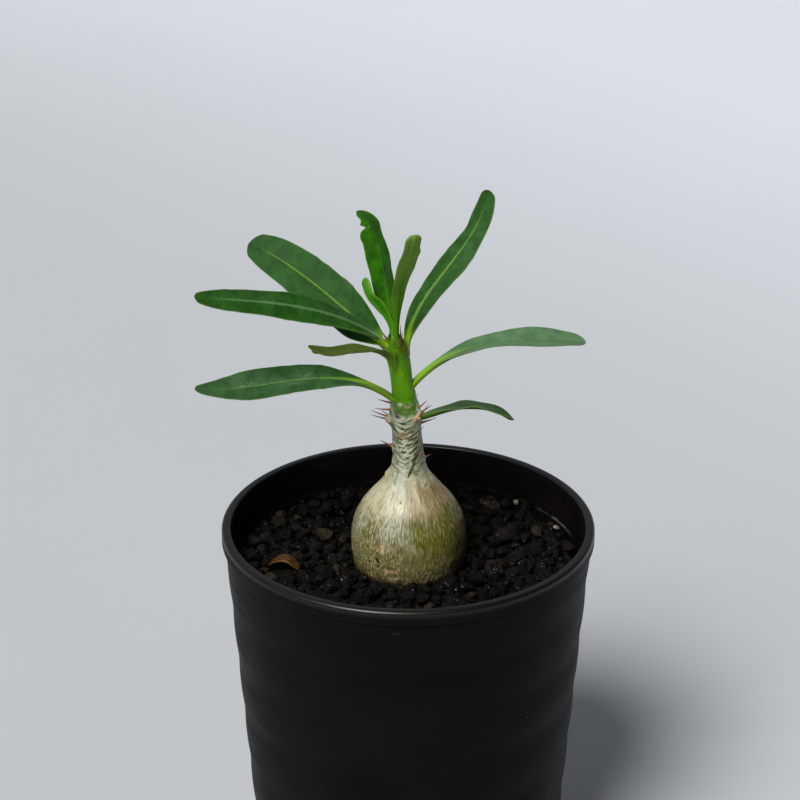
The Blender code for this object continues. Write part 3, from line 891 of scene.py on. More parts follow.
@dataclass(frozen=True)
class StudioPaper:
    """A wide sweep of pale matt paper, cut from a roll, with a faint cloud from its making.

    It gives the eye a cool ground with painted light: lighter further off and towards the right, as a
    lit studio floor looks.
    """

    near: str = "#c9ced5"
    far: str = "#e8eefa"
    cloud: str = "#bcc1c8"
    specular: float = 0.2
    roughness: Pair = (0.75, 0.85)
    lighter_from: Pair = (0.25, 0.95)
    cloud_size: float = 900.0
    tooth_size: float = 60.0

    def material(self) -> Material:
        """Builds the material.

        Returns:
            The material.
        """
        r = Recipe("pale_studio_floor", Specular_IOR_Level=self.specular)
        node = r.node
        place = node("TexCoord", out="Object")
        # Painted light: the paper is lighter further off and towards the right
        aslant = node("VectorMath", place, (1.0, 1.0, 0.0), operation="DOT_PRODUCT", out="Value")
        further = node("MapRange", aslant, *self.lighter_from, **SOFT)
        colour = node("MixRGB", further, self.near, self.far)
        clouds = node("TexNoise", place, Scale=per_size(self.cloud_size))
        clouds = node("MapRange", clouds, 0.3, 0.7, 0.0, 0.12, **SOFT)
        colour = node("MixRGB", clouds, colour, self.cloud)
        rough = node("TexNoise", place, Scale=per_size(self.tooth_size))
        rough = node("MapRange", rough, 0.3, 0.7, *self.roughness, **SOFT)
        return r.finish(Base_Color=colour, Roughness=rough)


# The pot


@dataclass
class Pot:
    """The tapered pot: helically ringed wall, rounded lip, drained floor and foot ring."""

    height: float = 100.0
    rim_radius: float = 45.0
    wall_top_radius: float = 44.6
    taper: float = 0.0735
    wall: float = 1.9
    lip: float = 3.8
    lip_rounds: Triple = (0.38, 0.9, 0.6)
    pitch: float = 14.4
    groove: float = 0.27
    groove_front: float = 83.2
    groove_fade: float = 6.0
    chamfer: float = 1.2
    foot_inner: float = 31.5
    pad_radius: float = 17.0
    recess: float = 2.0
    recess_slope: float = 1.0
    floor_top: float = 4.4
    fillet: float = 3.0
    drains: int = 8
    drain_radius: float = 3.6
    drain_circle: float = 24.5
    notches: int = 4
    notch_width: float = 7.0
    lime_height: float = 90.3
    lime_half_height: float = 0.45
    lime_bearing: float = 25.0
    lime_elsewhere: float = 0.10
    sides: int = 288
    wall_rows: int = 106
    sharp_angle: float = 38.0

    def wall_radius(self, height: Array | float) -> Array | float:
        """The outer wall's plain radius at a height."""
        return self.wall_top_radius - self.taper * (self.height - height)

    def inner_radius(self, height: float) -> float:
        """The inner wall's radius at a height."""
        return self.wall_radius(height) - self.wall

    def groove_at(self, turn: Array, height: Array) -> Array:
        """How deep the helical groove lies.

        Args:
            turn: the share of a full turn from +X.
            height: the height on the wall.

        Returns:
            The depth in mm.
        """
        start = self.groove_front + self.pitch * 0.25
        share = (height - start) / self.pitch - turn
        share = np.abs(share - np.round(share))
        edge = np.minimum(height - self.chamfer, self.height - self.lip - height)
        depth = self.groove * (1 - smooth_step(0.0, 0.5, share)) ** 1.5
        return depth * np.clip(edge / self.groove_fade, 0, 1)

    def outline(self) -> list[Pair]:
        """The profile, from the foot up the wall, over the lip and down inside to the floor.

        Returns:
            The points as (radius, height).
        """
        lip_low = self.height - self.lip
        inside = self.inner_radius(self.height)
        under, over, inner = self.lip_rounds
        rows = [(self.wall_radius(0) - self.chamfer, 0.0), (self.wall_radius(0) - 0.35, 0.35)]
        rows += [(self.wall_radius(h), h) for h in np.linspace(self.chamfer, lip_low, self.wall_rows)]
        rows += [(self.wall_radius(lip_low) + 0.08, lip_low + 0.04)]
        rows += [(self.rim_radius - 0.18, lip_low + 0.16)]
        rows += self.bend((self.rim_radius - under, lip_low + 0.55), under, -60, 0, 4)
        rows += self.bend((self.rim_radius - over, self.height - over), over, 0, 90, 9)
        rows += self.bend((inside + inner, self.height - inner), inner, 90, 180, 7)
        # The rows lie close above the mix, where the lime line needs them
        rows += [(self.inner_radius(h), h) for h in np.linspace(self.height - 1.2, 88, 44)]
        rows += [(self.inner_radius(h), h) for h in np.linspace(80, self.floor_top + self.fillet, 8)]
        corner = (self.inner_radius(self.floor_top) - self.fillet, self.floor_top + self.fillet)
        rows += self.bend(corner, self.fillet, 0, -90, 6)[1:]
        return rows

    @staticmethod
    def bend(centre: Pair, radius: float, start: float, end: float, steps: int) -> list:
        """Points on an arc of the profile.

        Args:
            centre: the arc's middle.
            radius: its radius.
            start: its first angle.
            end: its last angle.
            steps: how many points.

        Returns:
            The points as (radius, height).
        """
        angles = np.radians(np.linspace(start, end, steps))
        return [(centre[0] + radius * math.cos(a), centre[1] + radius * math.sin(a)) for a in angles]

    def build(self, finish: Material) -> None:
        """Makes the pot's wall and floor, cut through by the drain holes and the foot's notches.

        Args:
            finish: the pot's material.
        """
        piece = Piece("pot_shell", "pot_plastic", "pot", sharp_angle=self.sharp_angle)
        rows = np.array(self.outline())
        turn = np.arange(self.sides) / self.sides
        radius = np.repeat(rows[:, :1], self.sides, 1)
        height = np.repeat(rows[:, 1:], self.sides, 1)
        outer = np.arange(len(rows)) < 2 + self.wall_rows
        radius[outer] -= self.groove_at(turn[None, :], height[outer])
        angle = turn * math.tau
        points = on_circles(radius, angle, height)
        residue = self.residue_at(angle[None, :], height, outer)
        piece.add(points, grid_faces(len(rows), self.sides, True), residue=residue)
        self.add_floor(piece, len(rows))
        shell = piece.place(finish)
        self.open_drains(shell)

    def residue_at(self, angle: Array, height: Array, outer: Array) -> Array:
        """Where lime left by watering greys the inside wall.

        Args:
            angle: the direction round the pot in radians.
            height: the height of each point.
            outer: which rows are on the outside.

        Returns:
            The share of residue for each point.
        """
        ragged = fractal(on_circles(self.rim_radius, angle, height), 2.6, 5, 4)
        away = np.abs(height - self.lime_height - 0.4 * ragged)
        line = smooth_step(self.lime_half_height, 0.0, away)
        side = smooth_step(0.93, 0.99, np.cos(angle - math.radians(self.lime_bearing)))
        strength = self.lime_elsewhere + (1 - self.lime_elsewhere) * side
        found = line * strength * smooth_step(-0.25, 0.5, ragged)
        found[outer] = 0
        return found

    def add_floor(self, piece: Piece, rows: int) -> None:
        """Adds the floor's upper face and its stepped lower one, each closed by a disc.

        Args:
            piece: the piece to add to.
            rows: how many rows of points the wall has.
        """
        angle = full_turn(self.sides)
        low_slope = self.foot_inner - self.recess_slope
        under = [(self.foot_inner, 0.0), (low_slope, self.recess)]
        under += [(self.pad_radius + self.recess_slope, self.recess), (self.pad_radius, 0.0)]
        start = len(piece.points[0])
        piece.points.append(np.concatenate([on_circles(r, angle, h) for r, h in under]))
        piece.traits["residue"].append(np.zeros(self.sides * len(under)))
        chain = [0] + [start + k * self.sides for k in range(len(under))]
        for low, high in zip(chain, chain[1:]):
            for i in range(self.sides):
                after = (i + 1) % self.sides
                piece.faces.append((low + i, low + after, high + after, high + i))
        piece.faces.append(tuple(chain[-1] + i for i in range(self.sides)))
        piece.faces.append(tuple((rows - 1) * self.sides + i for i in range(self.sides)))

    def open_drains(self, shell: bpy.types.Object) -> None:
        """Cuts the drain holes through the floor and the water notches through the foot ring.

        Args:
            shell: the pot's closed mesh.
        """
        tools = bpy.data.collections.new("drain_tools")
        bpy.context.scene.collection.children.link(tools)
        for i in range(self.drains):
            turn = math.tau * i / self.drains
            place = (self.drain_circle * math.cos(turn), self.drain_circle * math.sin(turn))
            hole = on_circles(self.drain_radius, full_turn(40), 0.0)
            spots = [(place[0] + x, place[1] + y) for x, y, _ in hole.tolist()]
            self.add_tool(tools, spots, -1.0, self.floor_top + 1)
        half, inner = self.notch_width / 2, self.foot_inner - 2 * self.recess_slope
        for i in range(self.notches):
            turn = math.tau * (i + 0.5) / self.notches
            c, s = math.cos(turn), math.sin(turn)
            corners = ((inner, -half), (self.rim_radius, -half), (self.rim_radius, half), (inner, half))
            spots = [(x * c - y * s, x * s + y * c) for x, y in corners]
            self.add_tool(tools, spots, -1.0, 0.7 * self.recess)
        cut = shell.modifiers.new("Drains", "BOOLEAN")
        cut.operand_type, cut.collection, cut.solver = "COLLECTION", tools, "EXACT"
        graph = bpy.context.evaluated_depsgraph_get()
        shell.data = bpy.data.meshes.new_from_object(shell.evaluated_get(graph))
        shell.modifiers.clear()
        for tool in list(tools.objects):
            bpy.data.objects.remove(tool, do_unlink=True)
        bpy.data.collections.remove(tools)

    @staticmethod
    def add_tool(tools: bpy.types.Collection, spots: list, low: float, high: float) -> None:
        """Adds an upright closed prism to cut with.

        Args:
            tools: the collection that takes it.
            spots: its outline in plan.
            low: its lower end.
            high: its upper end.
        """
        count = len(spots)
        points = [(x * MM, y * MM, z * MM) for z in (low, high) for x, y in spots]
        faces = [tuple(range(count))[::-1], tuple(range(count, 2 * count))]
        faces += [(i, (i + 1) % count, count + (i + 1) % count, count + i) for i in range(count)]
        mesh = bpy.data.meshes.new("drain_tool")
        mesh.from_pydata(points, [], faces)
        tools.objects.link(bpy.data.objects.new("drain_tool", mesh))


# The potting mix


class Tone(Enum):
    """What a grain is made of, as the value of its tone trait."""

    CHAR = 0.0
    BROWN = 0.3
    STONE = 0.62
    PUMICE = 1.0


@dataclass
class PlacedGrain:
    """A grain that the photograph shows clearly: its place, size and make."""

    x: float
    y: float
    z: float
    size: Triple
    tone: Tone


@dataclass
class PottingMix:
    """Damp black grit with brown, grey and pale grains, heaped up to the swollen base."""

    level: float = 89.2
    low: float = 4.7
    outer: float = 41.6
    inner: float = 13.3
    seed: int = 23
    coarse_size: Pair = (1.5, 3.1)
    coarse_ring: Pair = (13.0, 41.0)
    coarse_lift: Pair = (-0.6, 1.1)
    coarse_tries: int = 5200
    fine_size: Pair = (0.45, 1.15)
    fine_ring: Pair = (12.6, 41.2)
    fine_lift: Pair = (-0.4, 0.9)
    fine_count: int = 900
    smooth_count: int = 115
    smooth_from: float = 1.6
    smooth_depth: float = 6.0
    flats: int = 11
    flat_at: Pair = (0.55, 0.9)
    grain_relief: float = 0.16
    base_heap: Pair = (0.7, 13.0)
    wall_heap: Pair = (0.5, 35.0)
    heap_reach: float = 6.0
    bed_drop: float = 1.1
    bed_ring: Pair = (11.6, 41.3)
    bed_sides: int = 260
    bed_relief: float = 0.9
    wall_gap: float = 0.3
    root_hole: Pair = (6.0, 30.0)
    tones: tuple[tuple[float, Pair], ...] = (
        (0.0, (-0.1, 0.12)), (0.72, (0.15, 0.4)), (0.94, (0.42, 0.66)),
    )
    scrap_spot: Triple = (-29.4, -3.4, 3.6)
    placed: tuple[PlacedGrain, ...] = (
        PlacedGrain(-20.6, 12.0, 90.6, (2.7, 2.3, 1.5), Tone.STONE),
        PlacedGrain(-20.0, 24.5, 91.2, (2.0, 1.8, 1.7), Tone.BROWN),
        PlacedGrain(32.0, 12.0, 90.9, (1.9, 1.5, 1.3), Tone.STONE),
        PlacedGrain(27.5, 27.0, 91.6, (0.8, 0.7, 0.7), Tone.PUMICE),
        PlacedGrain(36.9, 14.6, 90.8, (0.9, 0.7, 0.6), Tone.PUMICE),
        PlacedGrain(-21.6, -13.0, 91.0, (0.8, 0.6, 0.5), Tone.BROWN),
    )

    def grain(self, draw: random.Random, shape: Array, size: Sequence[float]) -> Array:
        """One broken grain: a ball cut by random flats, roughened and turned.

        Args:
            draw: the seeded source of random numbers.
            shape: the points of a ball of radius one.
            size: its radii along three axes.

        Returns:
            The grain's points round its own middle.
        """
        points = shape.copy()
        for _ in range(self.flats):
            flat = np.array([draw.gauss(0, 1) for _ in range(3)])
            flat /= np.linalg.norm(flat)
            over = np.maximum(0, points @ flat - draw.uniform(*self.flat_at))
            points -= over[:, None] * flat * 0.9
        offset = draw.uniform(0, 100)
        points *= 1 + self.grain_relief * fractal(points + offset, 0.9, 3, 3)[:, None]
        points *= np.array(size)
        turn = draw.uniform(0, math.tau)
        c, s = math.cos(turn), math.sin(turn)
        tip = draw.uniform(-0.5, 0.5)
        level, steep = math.cos(tip), math.sin(tip)
        leaning = np.array(((1, 0, 0), (0, level, -steep), (0, steep, level)))
        return points @ leaning @ np.array(((c, -s, 0), (s, c, 0), (0, 0, 1)))

    def free(self, x: float, y: float, size: float, taken: list[Triple]) -> bool:
        """Whether a grain fits here among those already placed.

        Args:
            x: its place across.
            y: its place in depth.
            size: its radius.
            taken: x, y and radius of the others.

        Returns:
            True if it is clear of the base, the wall, the scrap and most of the others.
        """
        away = math.hypot(x, y)
        if away > self.outer - size or away < self.inner + size * 0.75:
            return False
        return all(math.hypot(x - a, y - b) > 0.80 * (size + other) for a, b, other in taken)

    def build(self, finish: Material) -> None:
        """Makes the bed, the coarse grains near the front, those behind, and the fine ones.

        Args:
            finish: the material of them all.
        """
        self.build_bed(finish)
        draw = random.Random(self.seed)
        coarse = Piece("coarse_grit_front", "potting_grit", "potting_mix")
        behind = Piece("coarse_grit_behind", "potting_grit", "potting_mix")
        fine = Piece("fine_grit", "potting_grit", "potting_mix")
        smooth, plain, small = ball(4), ball(3), ball(2)
        taken = [self.scrap_spot]
        for stone in self.placed:
            points = self.grain(draw, smooth[0], stone.size) + (stone.x, stone.y, stone.z)
            coarse.add(points, smooth[1], tone=stone.tone.value)
            taken.append((stone.x, stone.y, max(stone.size)))
        for _ in range(self.coarse_tries):
            size = draw.uniform(*self.coarse_size)
            x, y = self.pick_place(draw, self.coarse_ring)
            if not self.free(x, y, size, taken):
                continue
            taken.append((x, y, size))
            radii = [size * draw.uniform(*share) for share in ((0.85, 1.2), (0.8, 1.1), (0.6, 0.9))]
            large = size > self.smooth_from and len(coarse.points) < self.smooth_count
            near = large and y < self.smooth_depth
            shape = smooth if near else plain
            lift = self.level + draw.uniform(*self.coarse_lift)
            lift += self.heap(math.hypot(x, y)) - 0.15 * size
            points = self.grain(draw, shape[0], radii) + (x, y, lift)
            (coarse if near else behind).add(points, shape[1], tone=self.pick_tone(draw))
        for _ in range(self.fine_count):
            size = draw.uniform(*self.fine_size)
            x, y = self.pick_place(draw, self.fine_ring)
            radii = [size * draw.uniform(0.8, 1.25) for _ in range(3)]
            away = math.hypot(x, y)
            if away > self.outer - size:
                continue
            lift = self.level + draw.uniform(*self.fine_lift) + self.heap(away)
            points = self.grain(draw, small[0], radii) + (x, y, lift)
            fine.add(points, small[1], tone=self.pick_tone(draw))
        for piece in (coarse, behind, fine):
            piece.place(finish)

    @staticmethod
    def pick_place(draw: random.Random, ring: Pair) -> Pair:
        """A place for a grain, spread evenly over a ring.

        Args:
            draw: the seeded source of random numbers.
            ring: the ring's inner and outer radius.

        Returns:
            The place across and in depth.
        """
        angle = draw.uniform(0, math.tau)
        away = math.sqrt(draw.uniform(ring[0] ** 2, ring[1] ** 2))
        return away * math.cos(angle), away * math.sin(angle)

    def pick_tone(self, draw: random.Random) -> float:
        """A grain's tone: mostly black, some brown and few grey, by where a roll falls.

        Args:
            draw: the seeded source of random numbers.

        Returns:
            The value of the tone trait.
        """
        roll = draw.random()
        for start, tones in self.tones:
            if roll >= start:
                tone = draw.uniform(*tones)
        return tone

    def heap(self, away: float) -> float:
        """How far the mix rises towards the swollen base and the wall.

        Args:
            away: how far a place is from the axis.

        Returns:
            The rise in mm.
        """
        at_base, base = self.base_heap
        at_wall, wall = self.wall_heap
        towards_base = max(0.0, 1 - (away - base) / self.heap_reach)
        return at_base * towards_base + at_wall * max(0.0, (away - wall) / self.heap_reach)

    def build_bed(self, finish: Material) -> None:
        """Makes the closed body under the grains, with a crumbly top and a hole for the root.

        Args:
            finish: the material of the mix.
        """
        piece = Piece("mix_bed", "potting_grit", "potting_mix")
        sides = self.bed_sides
        wall = Pot()
        hole, deep = self.root_hole
        top = [(r, self.level - self.bed_drop) for r in np.linspace(*self.bed_ring, 62)]
        heights = (80.0, 60.0, 40.0, 20.0, self.low + 3.5)
        down = [(wall.inner_radius(h) - self.wall_gap, h) for h in heights]
        floor = [(wall.inner_radius(4) - 3.4, self.low), (hole, self.low), (hole, self.low + deep)]
        rows = np.array(top + down + floor)
        radius = np.repeat(rows[:, :1], sides, 1)
        spot = on_circles(radius, full_turn(sides), rows[:, 1:])
        crumbs = fractal(spot, 2.4, 9, 4)
        rise = np.zeros_like(radius)
        count = len(top)
        heap = np.array([self.heap(r) for r in rows[:count, 0]])[:, None]
        relief = self.bed_relief * crumbs[:count]
        rise[:count] = heap + relief * smooth_step(13.0, 16.5, rows[:count, :1])
        spot[..., 2] += rise
        faces = grid_faces(len(rows), sides, True).tolist()
        last = (len(rows) - 1) * sides
        faces += [(last + i, last + (i + 1) % sides, (i + 1) % sides, i) for i in range(sides)]
        tone = np.clip(0.15 * noise(spot, 3.0, 4), -0.1, 0.2)
        piece.add(spot, np.array(faces), tone=tone)
        piece.place(finish)


# The stem


class MarkKind(Enum):
    """What a mark on the bark is: a real scar, pit, crack or stain, a painted highlight, or a painted
    shadow.
    """

    CORK = "cork"
    PIT = "pit"
    CRACK = "furrow"
    STAIN_AND_SHADE = "stain"
    PAINTED_SHEEN = "sheen"


@dataclass(frozen=True)
class Mark:
    """A scar, pit, crack, stain, painted shadow or painted highlight: where it is on the bark, its half
    sizes in mm and how it is turned.
    """

    kind: MarkKind
    height: float
    bearing: float
    half_width: float
    half_height: float
    turn: float = 0.0
    strength: float = 1.0


CORK, PIT, CRACK = MarkKind.CORK, MarkKind.PIT, MarkKind.CRACK
STAIN_AND_SHADE, PAINTED_SHEEN = MarkKind.STAIN_AND_SHADE, MarkKind.PAINTED_SHEEN


@dataclass
class Stem:
    """The swollen base, its bark neck, the green shoot and the spines that grow from them."""

    profile: tuple[Pair, ...] = (
        (50, 2.2), (60, 3.8), (68, 5.8), (74, 8.3), (80, 11.1), (86, 12.6), (90, 13.4), (94, 14.0),
        (98, 13.9), (102, 13.0), (105.5, 11.1), (108, 9.0), (110, 7.2), (112, 5.6), (115, 4.2),
        (119, 3.65), (124, 3.5), (127.5, 3.75), (130, 3.65), (132.5, 3.1), (134, 2.65), (139, 2.55),
        (144, 2.5), (147, 2.2), (149, 1.4), (149.7, 0.0),
    )
    offset: float = 0.2
    lean_start: float = 108.0
    lean_curve: float = 0.0021
    skin_radius: float = 14.0
    bark_low: float = 82.0
    bark_high: float = 133.6
    columns: int = 444
    rows: int = 212
    pleats: int = 11
    pleat_height: float = 0.16
    lump_height: float = 0.14
    ridge_height: float = 0.09
    plate_height: float = 0.07
    furrow_depth: float = 0.22
    pit_depth: float = 0.25
    cork_height: float = 0.16
    tuck_depth: float = 0.45
    shoot_low: float = 129.0
    shoot_high: float = 149.6
    shoot_sides: int = 160
    shoot_rows: int = 130
    shoot_tuck: float = 0.35
    stalk_swell: float = 0.28
    seam: Triple = (273.0, 6.9, 142.7)
    green_bearing: float = 303.0
    back_green_bearing: float = 95.0
    cream_bearing: float = 228.0
    shaded_right: float = 345.0
    shaded_left: float = 195.0
    streak_bearing: float = 276.0
    streak_lean: float = 3.4
    knobs: tuple[Four, ...] = (
        (127.2, 184, 1.2, 1.1), (128.7, 313, 0.7, 1.1), (129.4, 330, 0.55, 1.4),
        (113.0, 182, 0.7, 0.9), (128.6, 62, 0.5, 1.3), (126.8, 120, 0.45, 1.2),
        (131.0, 288, 0.35, 1.2), (120.0, 186, 0.3, 0.8), (117.2, 352, 0.3, 0.7),
        (124.8, 250, 0.2, 1.0),
    )
    marks: tuple[Mark, ...] = (
        Mark(CORK, 98.6, 242, 0.7, 1.1, 15, 0.75),
        Mark(PIT, 95.4, 237, 0.42, 0.8, 20),
        Mark(PIT, 94.4, 227, 0.38, 0.34),
        Mark(PIT, 94.0, 238, 0.4, 0.36),
        Mark(CORK, 92.9, 251, 1.7, 0.6, 10, 0.6),
        Mark(PIT, 94.0, 250, 1.6, 0.4, 0, 0.5),
        Mark(CORK, 91.3, 255, 2.0, 0.3, 8, 0.4),
        Mark(PIT, 108.9, 256, 0.30, 0.28, 0, 0.85),
        Mark(PIT, 106.5, 338, 0.5, 0.8, -20, 0.7),
        Mark(CORK, 112.3, 318, 1.1, 0.55, 30, 0.9),
        Mark(PIT, 111.8, 316, 0.8, 0.2, 30, 0.6),
        Mark(CRACK, 116.4, 286, 0.42, 1.7, -34, 0.8),
        Mark(CRACK, 118.2, 296, 0.36, 1.2, -62),
        Mark(CRACK, 115.0, 276, 0.30, 1.3, -30),
        Mark(CRACK, 114.4, 234, 0.25, 0.9, -10, 0.5),
        Mark(CRACK, 112.6, 231, 0.28, 1.0, 6, 0.5),
        Mark(CRACK, 110.0, 237, 0.28, 1.1, 0, 0.4),
        Mark(CRACK, 105.5, 237, 0.2, 0.8, 0, 0.4),
        Mark(CRACK, 120.6, 300, 0.28, 1.3, -50),
        Mark(CRACK, 122.6, 318, 0.25, 0.9, -45),
        Mark(CRACK, 122.2, 222, 0.25, 0.9, 40),
        Mark(CRACK, 120.0, 250, 0.2, 0.8, 60),
        Mark(CORK, 124.6, 250, 1.8, 0.8, 4),
        Mark(PIT, 124.9, 250, 2.3, 0.2, 3, 0.7),
        Mark(PIT, 124.5, 251, 1.5, 0.55, 4, 0.38),
        Mark(PIT, 118.3, 241, 0.7, 0.35, 0, 0.3),
        Mark(PIT, 112.2, 319, 0.9, 0.45, 30, 0.35),
        Mark(PIT, 126.2, 256, 0.4, 0.25, 0, 0.8),
        Mark(CORK, 118.4, 240, 0.9, 0.5, 0, 0.9),
        Mark(PIT, 118.6, 238, 0.35, 0.22, 0, 0.8),
        Mark(CORK, 132.1, 286, 0.9, 0.6, 0, 0.35),
        Mark(PIT, 132.3, 286, 0.8, 0.5, 0, 0.45),
        Mark(CORK, 127.4, 186, 1.2, 0.9, 0, 0.9),
        Mark(CORK, 128.7, 312, 1.5, 1.0, 20),
        Mark(CORK, 100.4, 60, 0.9, 0.6),
        Mark(CORK, 94.0, 140, 1.1, 0.5, 15),
        Mark(PIT, 97.5, 118, 0.3, 0.4),
        Mark(CORK, 109.4, 92, 0.9, 0.5, -10),
        Mark(PIT, 103.8, 20, 0.3, 0.3),
        Mark(CRACK, 116.0, 60, 0.28, 1.4, 30),
        Mark(CRACK, 118.5, 110, 0.28, 1.3, -30),
        Mark(CRACK, 113.0, 150, 0.28, 1.1, 10),
        Mark(CORK, 122.6, 80, 1.1, 0.4, -5),
        # The sheen marks are painted highlights
        Mark(PAINTED_SHEEN, 127.6, 288, 2.0, 0.40, 26, 0.7),
        Mark(PAINTED_SHEEN, 132.3, 252, 0.6, 0.5, 0, 1.0),
        Mark(PAINTED_SHEEN, 128.6, 258, 0.5, 0.7, 30, 0.6),
        Mark(PAINTED_SHEEN, 119.3, 259, 0.9, 0.45, 10, 0.8),
        Mark(PAINTED_SHEEN, 115.4, 255, 0.6, 1.1, -8, 0.9),
        Mark(STAIN_AND_SHADE, 129.8, 236, 0.8, 1.4, 10, 0.8),
        # A painted shadow under the fold's ridge; the other stain marks are real stains
        Mark(STAIN_AND_SHADE, 126.6, 290, 2.0, 0.45, 24, 0.5),
        Mark(STAIN_AND_SHADE, 142.2, 237, 1.3, 1.3, 0, 0.4),
        Mark(STAIN_AND_SHADE, 144.0, 267, 0.28, 1.5, 0, 0.8),
        Mark(STAIN_AND_SHADE, 146.0, 292, 0.5, 1.0, 0, 0.5),
    )

    def middle(self, height: Array | float) -> Array:
        """Where the stem's axis is at a height, leaning left above the swollen base."""
        over = np.maximum(0.0, np.asarray(height, float) - self.lean_start)
        return np.stack([self.offset - self.lean_curve * over**2, 0 * over, 0 * over], -1)

    def radius(self, height: Array | float) -> Array:
        """The stem's radius at a height, rounded between the profile's rows.

        Args:
            height: one height or many.

        Returns:
            The radius in mm.
        """
        rows = np.array(self.profile)
        spread = np.linspace(-1.4, 1.4, 9)
        weight = np.exp(-((spread / 0.9) ** 2))
        near = [np.interp(np.minimum(height + shift, rows[-1, 0]), *rows.T) for shift in spread]
        return sum(w * value for w, value in zip(weight, near)) / weight.sum()

    def even_heights(self, low: float, high: float, count: int) -> tuple[Array, Array]:
        """Heights that are evenly far apart along the bark's profile.

        Args:
            low: the first height.
            high: the last height.
            count: how many.

        Returns:
            The heights, and how far each is along the profile.
        """
        fine = np.linspace(low, high, 3000)
        run = np.concatenate([[0], np.cumsum(np.hypot(np.diff(fine), np.diff(self.radius(fine))))])
        at = np.linspace(0, run[-1], count)
        return np.interp(at, run, fine), at

    def mark_field(self, kind: MarkKind, angle: Array, height: Array, run: Array) -> Array:
        """How much of a kind of mark each point of the bark shows.

        Args:
            kind: the kind of mark.
            angle: the direction of each column in radians.
            height: the height of each row.
            run: how far each row is along the profile.

        Returns:
            A value between 0 and 1 for each point.
        """
        found = np.zeros((len(height), len(angle)))
        for mark in self.marks:
            if mark.kind is not kind or not height[0] < mark.height < height[-1]:
                continue
            across = past(angle, mark.bearing)[None, :] * self.radius(height)[:, None]
            up = (run - np.interp(mark.height, height, run))[:, None] + 0 * across
            turn = math.radians(mark.turn)
            a = (across * math.cos(turn) + up * math.sin(turn)) / mark.half_width
            b = (up * math.cos(turn) - across * math.sin(turn)) / mark.half_height
            ragged = 0.3 * noise(np.stack([across, up, 0 * up + mark.height], -1), 0.5, 8)
            found = np.maximum(found, mark.strength * smooth_step(1.25, 0.6, np.hypot(a, b) + ragged))
        return found

    def build(self, bark: Material, shoot: Material, wood: Material) -> None:
        """Makes the bark, the shoot and the spines.

        Args:
            bark: the bark's finish.
            shoot: the green shoot's finish.
            wood: the spines' finish.
        """
        self.build_bark(bark)
        self.build_shoot(shoot)
        Spines(self).build(wood)

    def build_bark(self, finish: Material) -> None:
        """Makes the swollen base and the neck, with ridges, puckers, cracks and scars.

        Args:
            finish: the bark's material.
        """
        height, run = self.even_heights(self.bark_low, self.bark_high, self.rows)
        angle = full_turn(self.columns)
        plain = self.radius(height)
        slope = np.gradient(plain, height)
        out = 1 / np.hypot(1, slope)
        z = height[:, None] + 0 * angle
        skin = on_circles(self.skin_radius, angle, run[:, None])
        # Long wandering ridges run up the base and knit into a net near the mix
        swirl = noise(skin, 2.6, 1)
        turned = angle + 0.045 * swirl + 0.02 * noise(skin, 1.0, 2)
        ridge_place = on_circles(self.skin_radius, turned, skin[..., 2])
        long_ridges = 1 - np.abs(noise(ridge_place * (1, 1, 0.20), 0.66, 3)) * 1.8
        net = 1 - np.abs(noise(ridge_place * (1, 1, 0.55), 0.7, 4)) * 1.8
        low_down = smooth_step(98, 90, z)
        ridges = np.clip(long_ridges * (1 - low_down) + net * low_down, 0, 1)
        body = smooth_step(115, 110, z)
        zones = self.zones(angle, z, skin, body)
        # The skin puckers where the base narrows into the neck
        near = np.exp(-(((z - 111.5) / 3) ** 2))
        uneven = 0.75 + 0.25 * np.sin(2 * angle + 1.0)
        lift = self.pleat_height * near * uneven * np.cos(self.pleats * angle + 0.8 + 0.5 * swirl)
        lift += self.lump_height * near * noise(skin * (1, 1, 0.35), 2.2, 6)
        lift += self.ridge_height * body * (ridges - 0.5) * (1 - 0.4 * zones["cream"])
        lift += self.lump_height * fractal(skin, 5.0, 7, 3) * smooth_step(128, 112, z)
        # The neck's plates run aslant
        x, y, _ = np.moveaxis(on_circles(plain[:, None], angle, z), -1, 0)
        aslant = np.stack([0.4 * x, 0.4 * y, z - 0.45 * x], -1)
        lift += smooth_step(111, 116, z) * self.plate_height * noise(aslant, 1.3, 12)
        lift -= self.furrow_depth * zones["furrow"] + self.pit_depth * zones["pit"]
        # The bark ends in a ragged edge that tucks into the shoot
        top = 131.7 + 0.8 * (1 - np.cos(angle - math.radians(275)))
        tucked = smooth_step(0.0, 1.1, z + 0.5 * swirl - np.minimum(top, 132.4))
        lift -= self.tuck_depth * tucked
        lift += self.cork_height * zones["cork"] * (0.4 + 0.6 * noise(skin, 0.5, 13))
        lift += self.swellings(angle, z)
        radius = plain[:, None] + lift * out[:, None]
        points = on_circles(radius, angle, z - lift * (slope * out)[:, None])
        points += self.middle(height)[:, None, :]
        piece = Piece("caudex_and_neck", "caudex_bark", "stem")
        coordinates = dict(zip(("skin_x", "skin_y", "skin_run"), np.moveaxis(skin, -1, 0) * MM))
        piece.add(points, grid_faces(self.rows, self.columns, True), **zones, **coordinates)
        piece.cap(self.rows, self.columns)
        piece.place(finish)

    def zones(self, angle: Array, z: Array, skin: Array, body: Array) -> dict[str, Array]:
        """The bark's colour zones, each a value between 0 and 1 for each point.

        Args:
            angle: the direction of each column in radians.
            z: the height of each point.
            skin: the place of each point on the unrolled bark.
            body: 1 on the swollen base and 0 on the neck.

        Returns:
            The zones by the names of the traits that hold them.
        """
        cloudy = fractal(skin, 4.0, 21, 3)
        fine = fractal(skin * (1, 1, 0.4), 1.2, 22, 3)
        bearing = np.degrees(angle)[None, :]
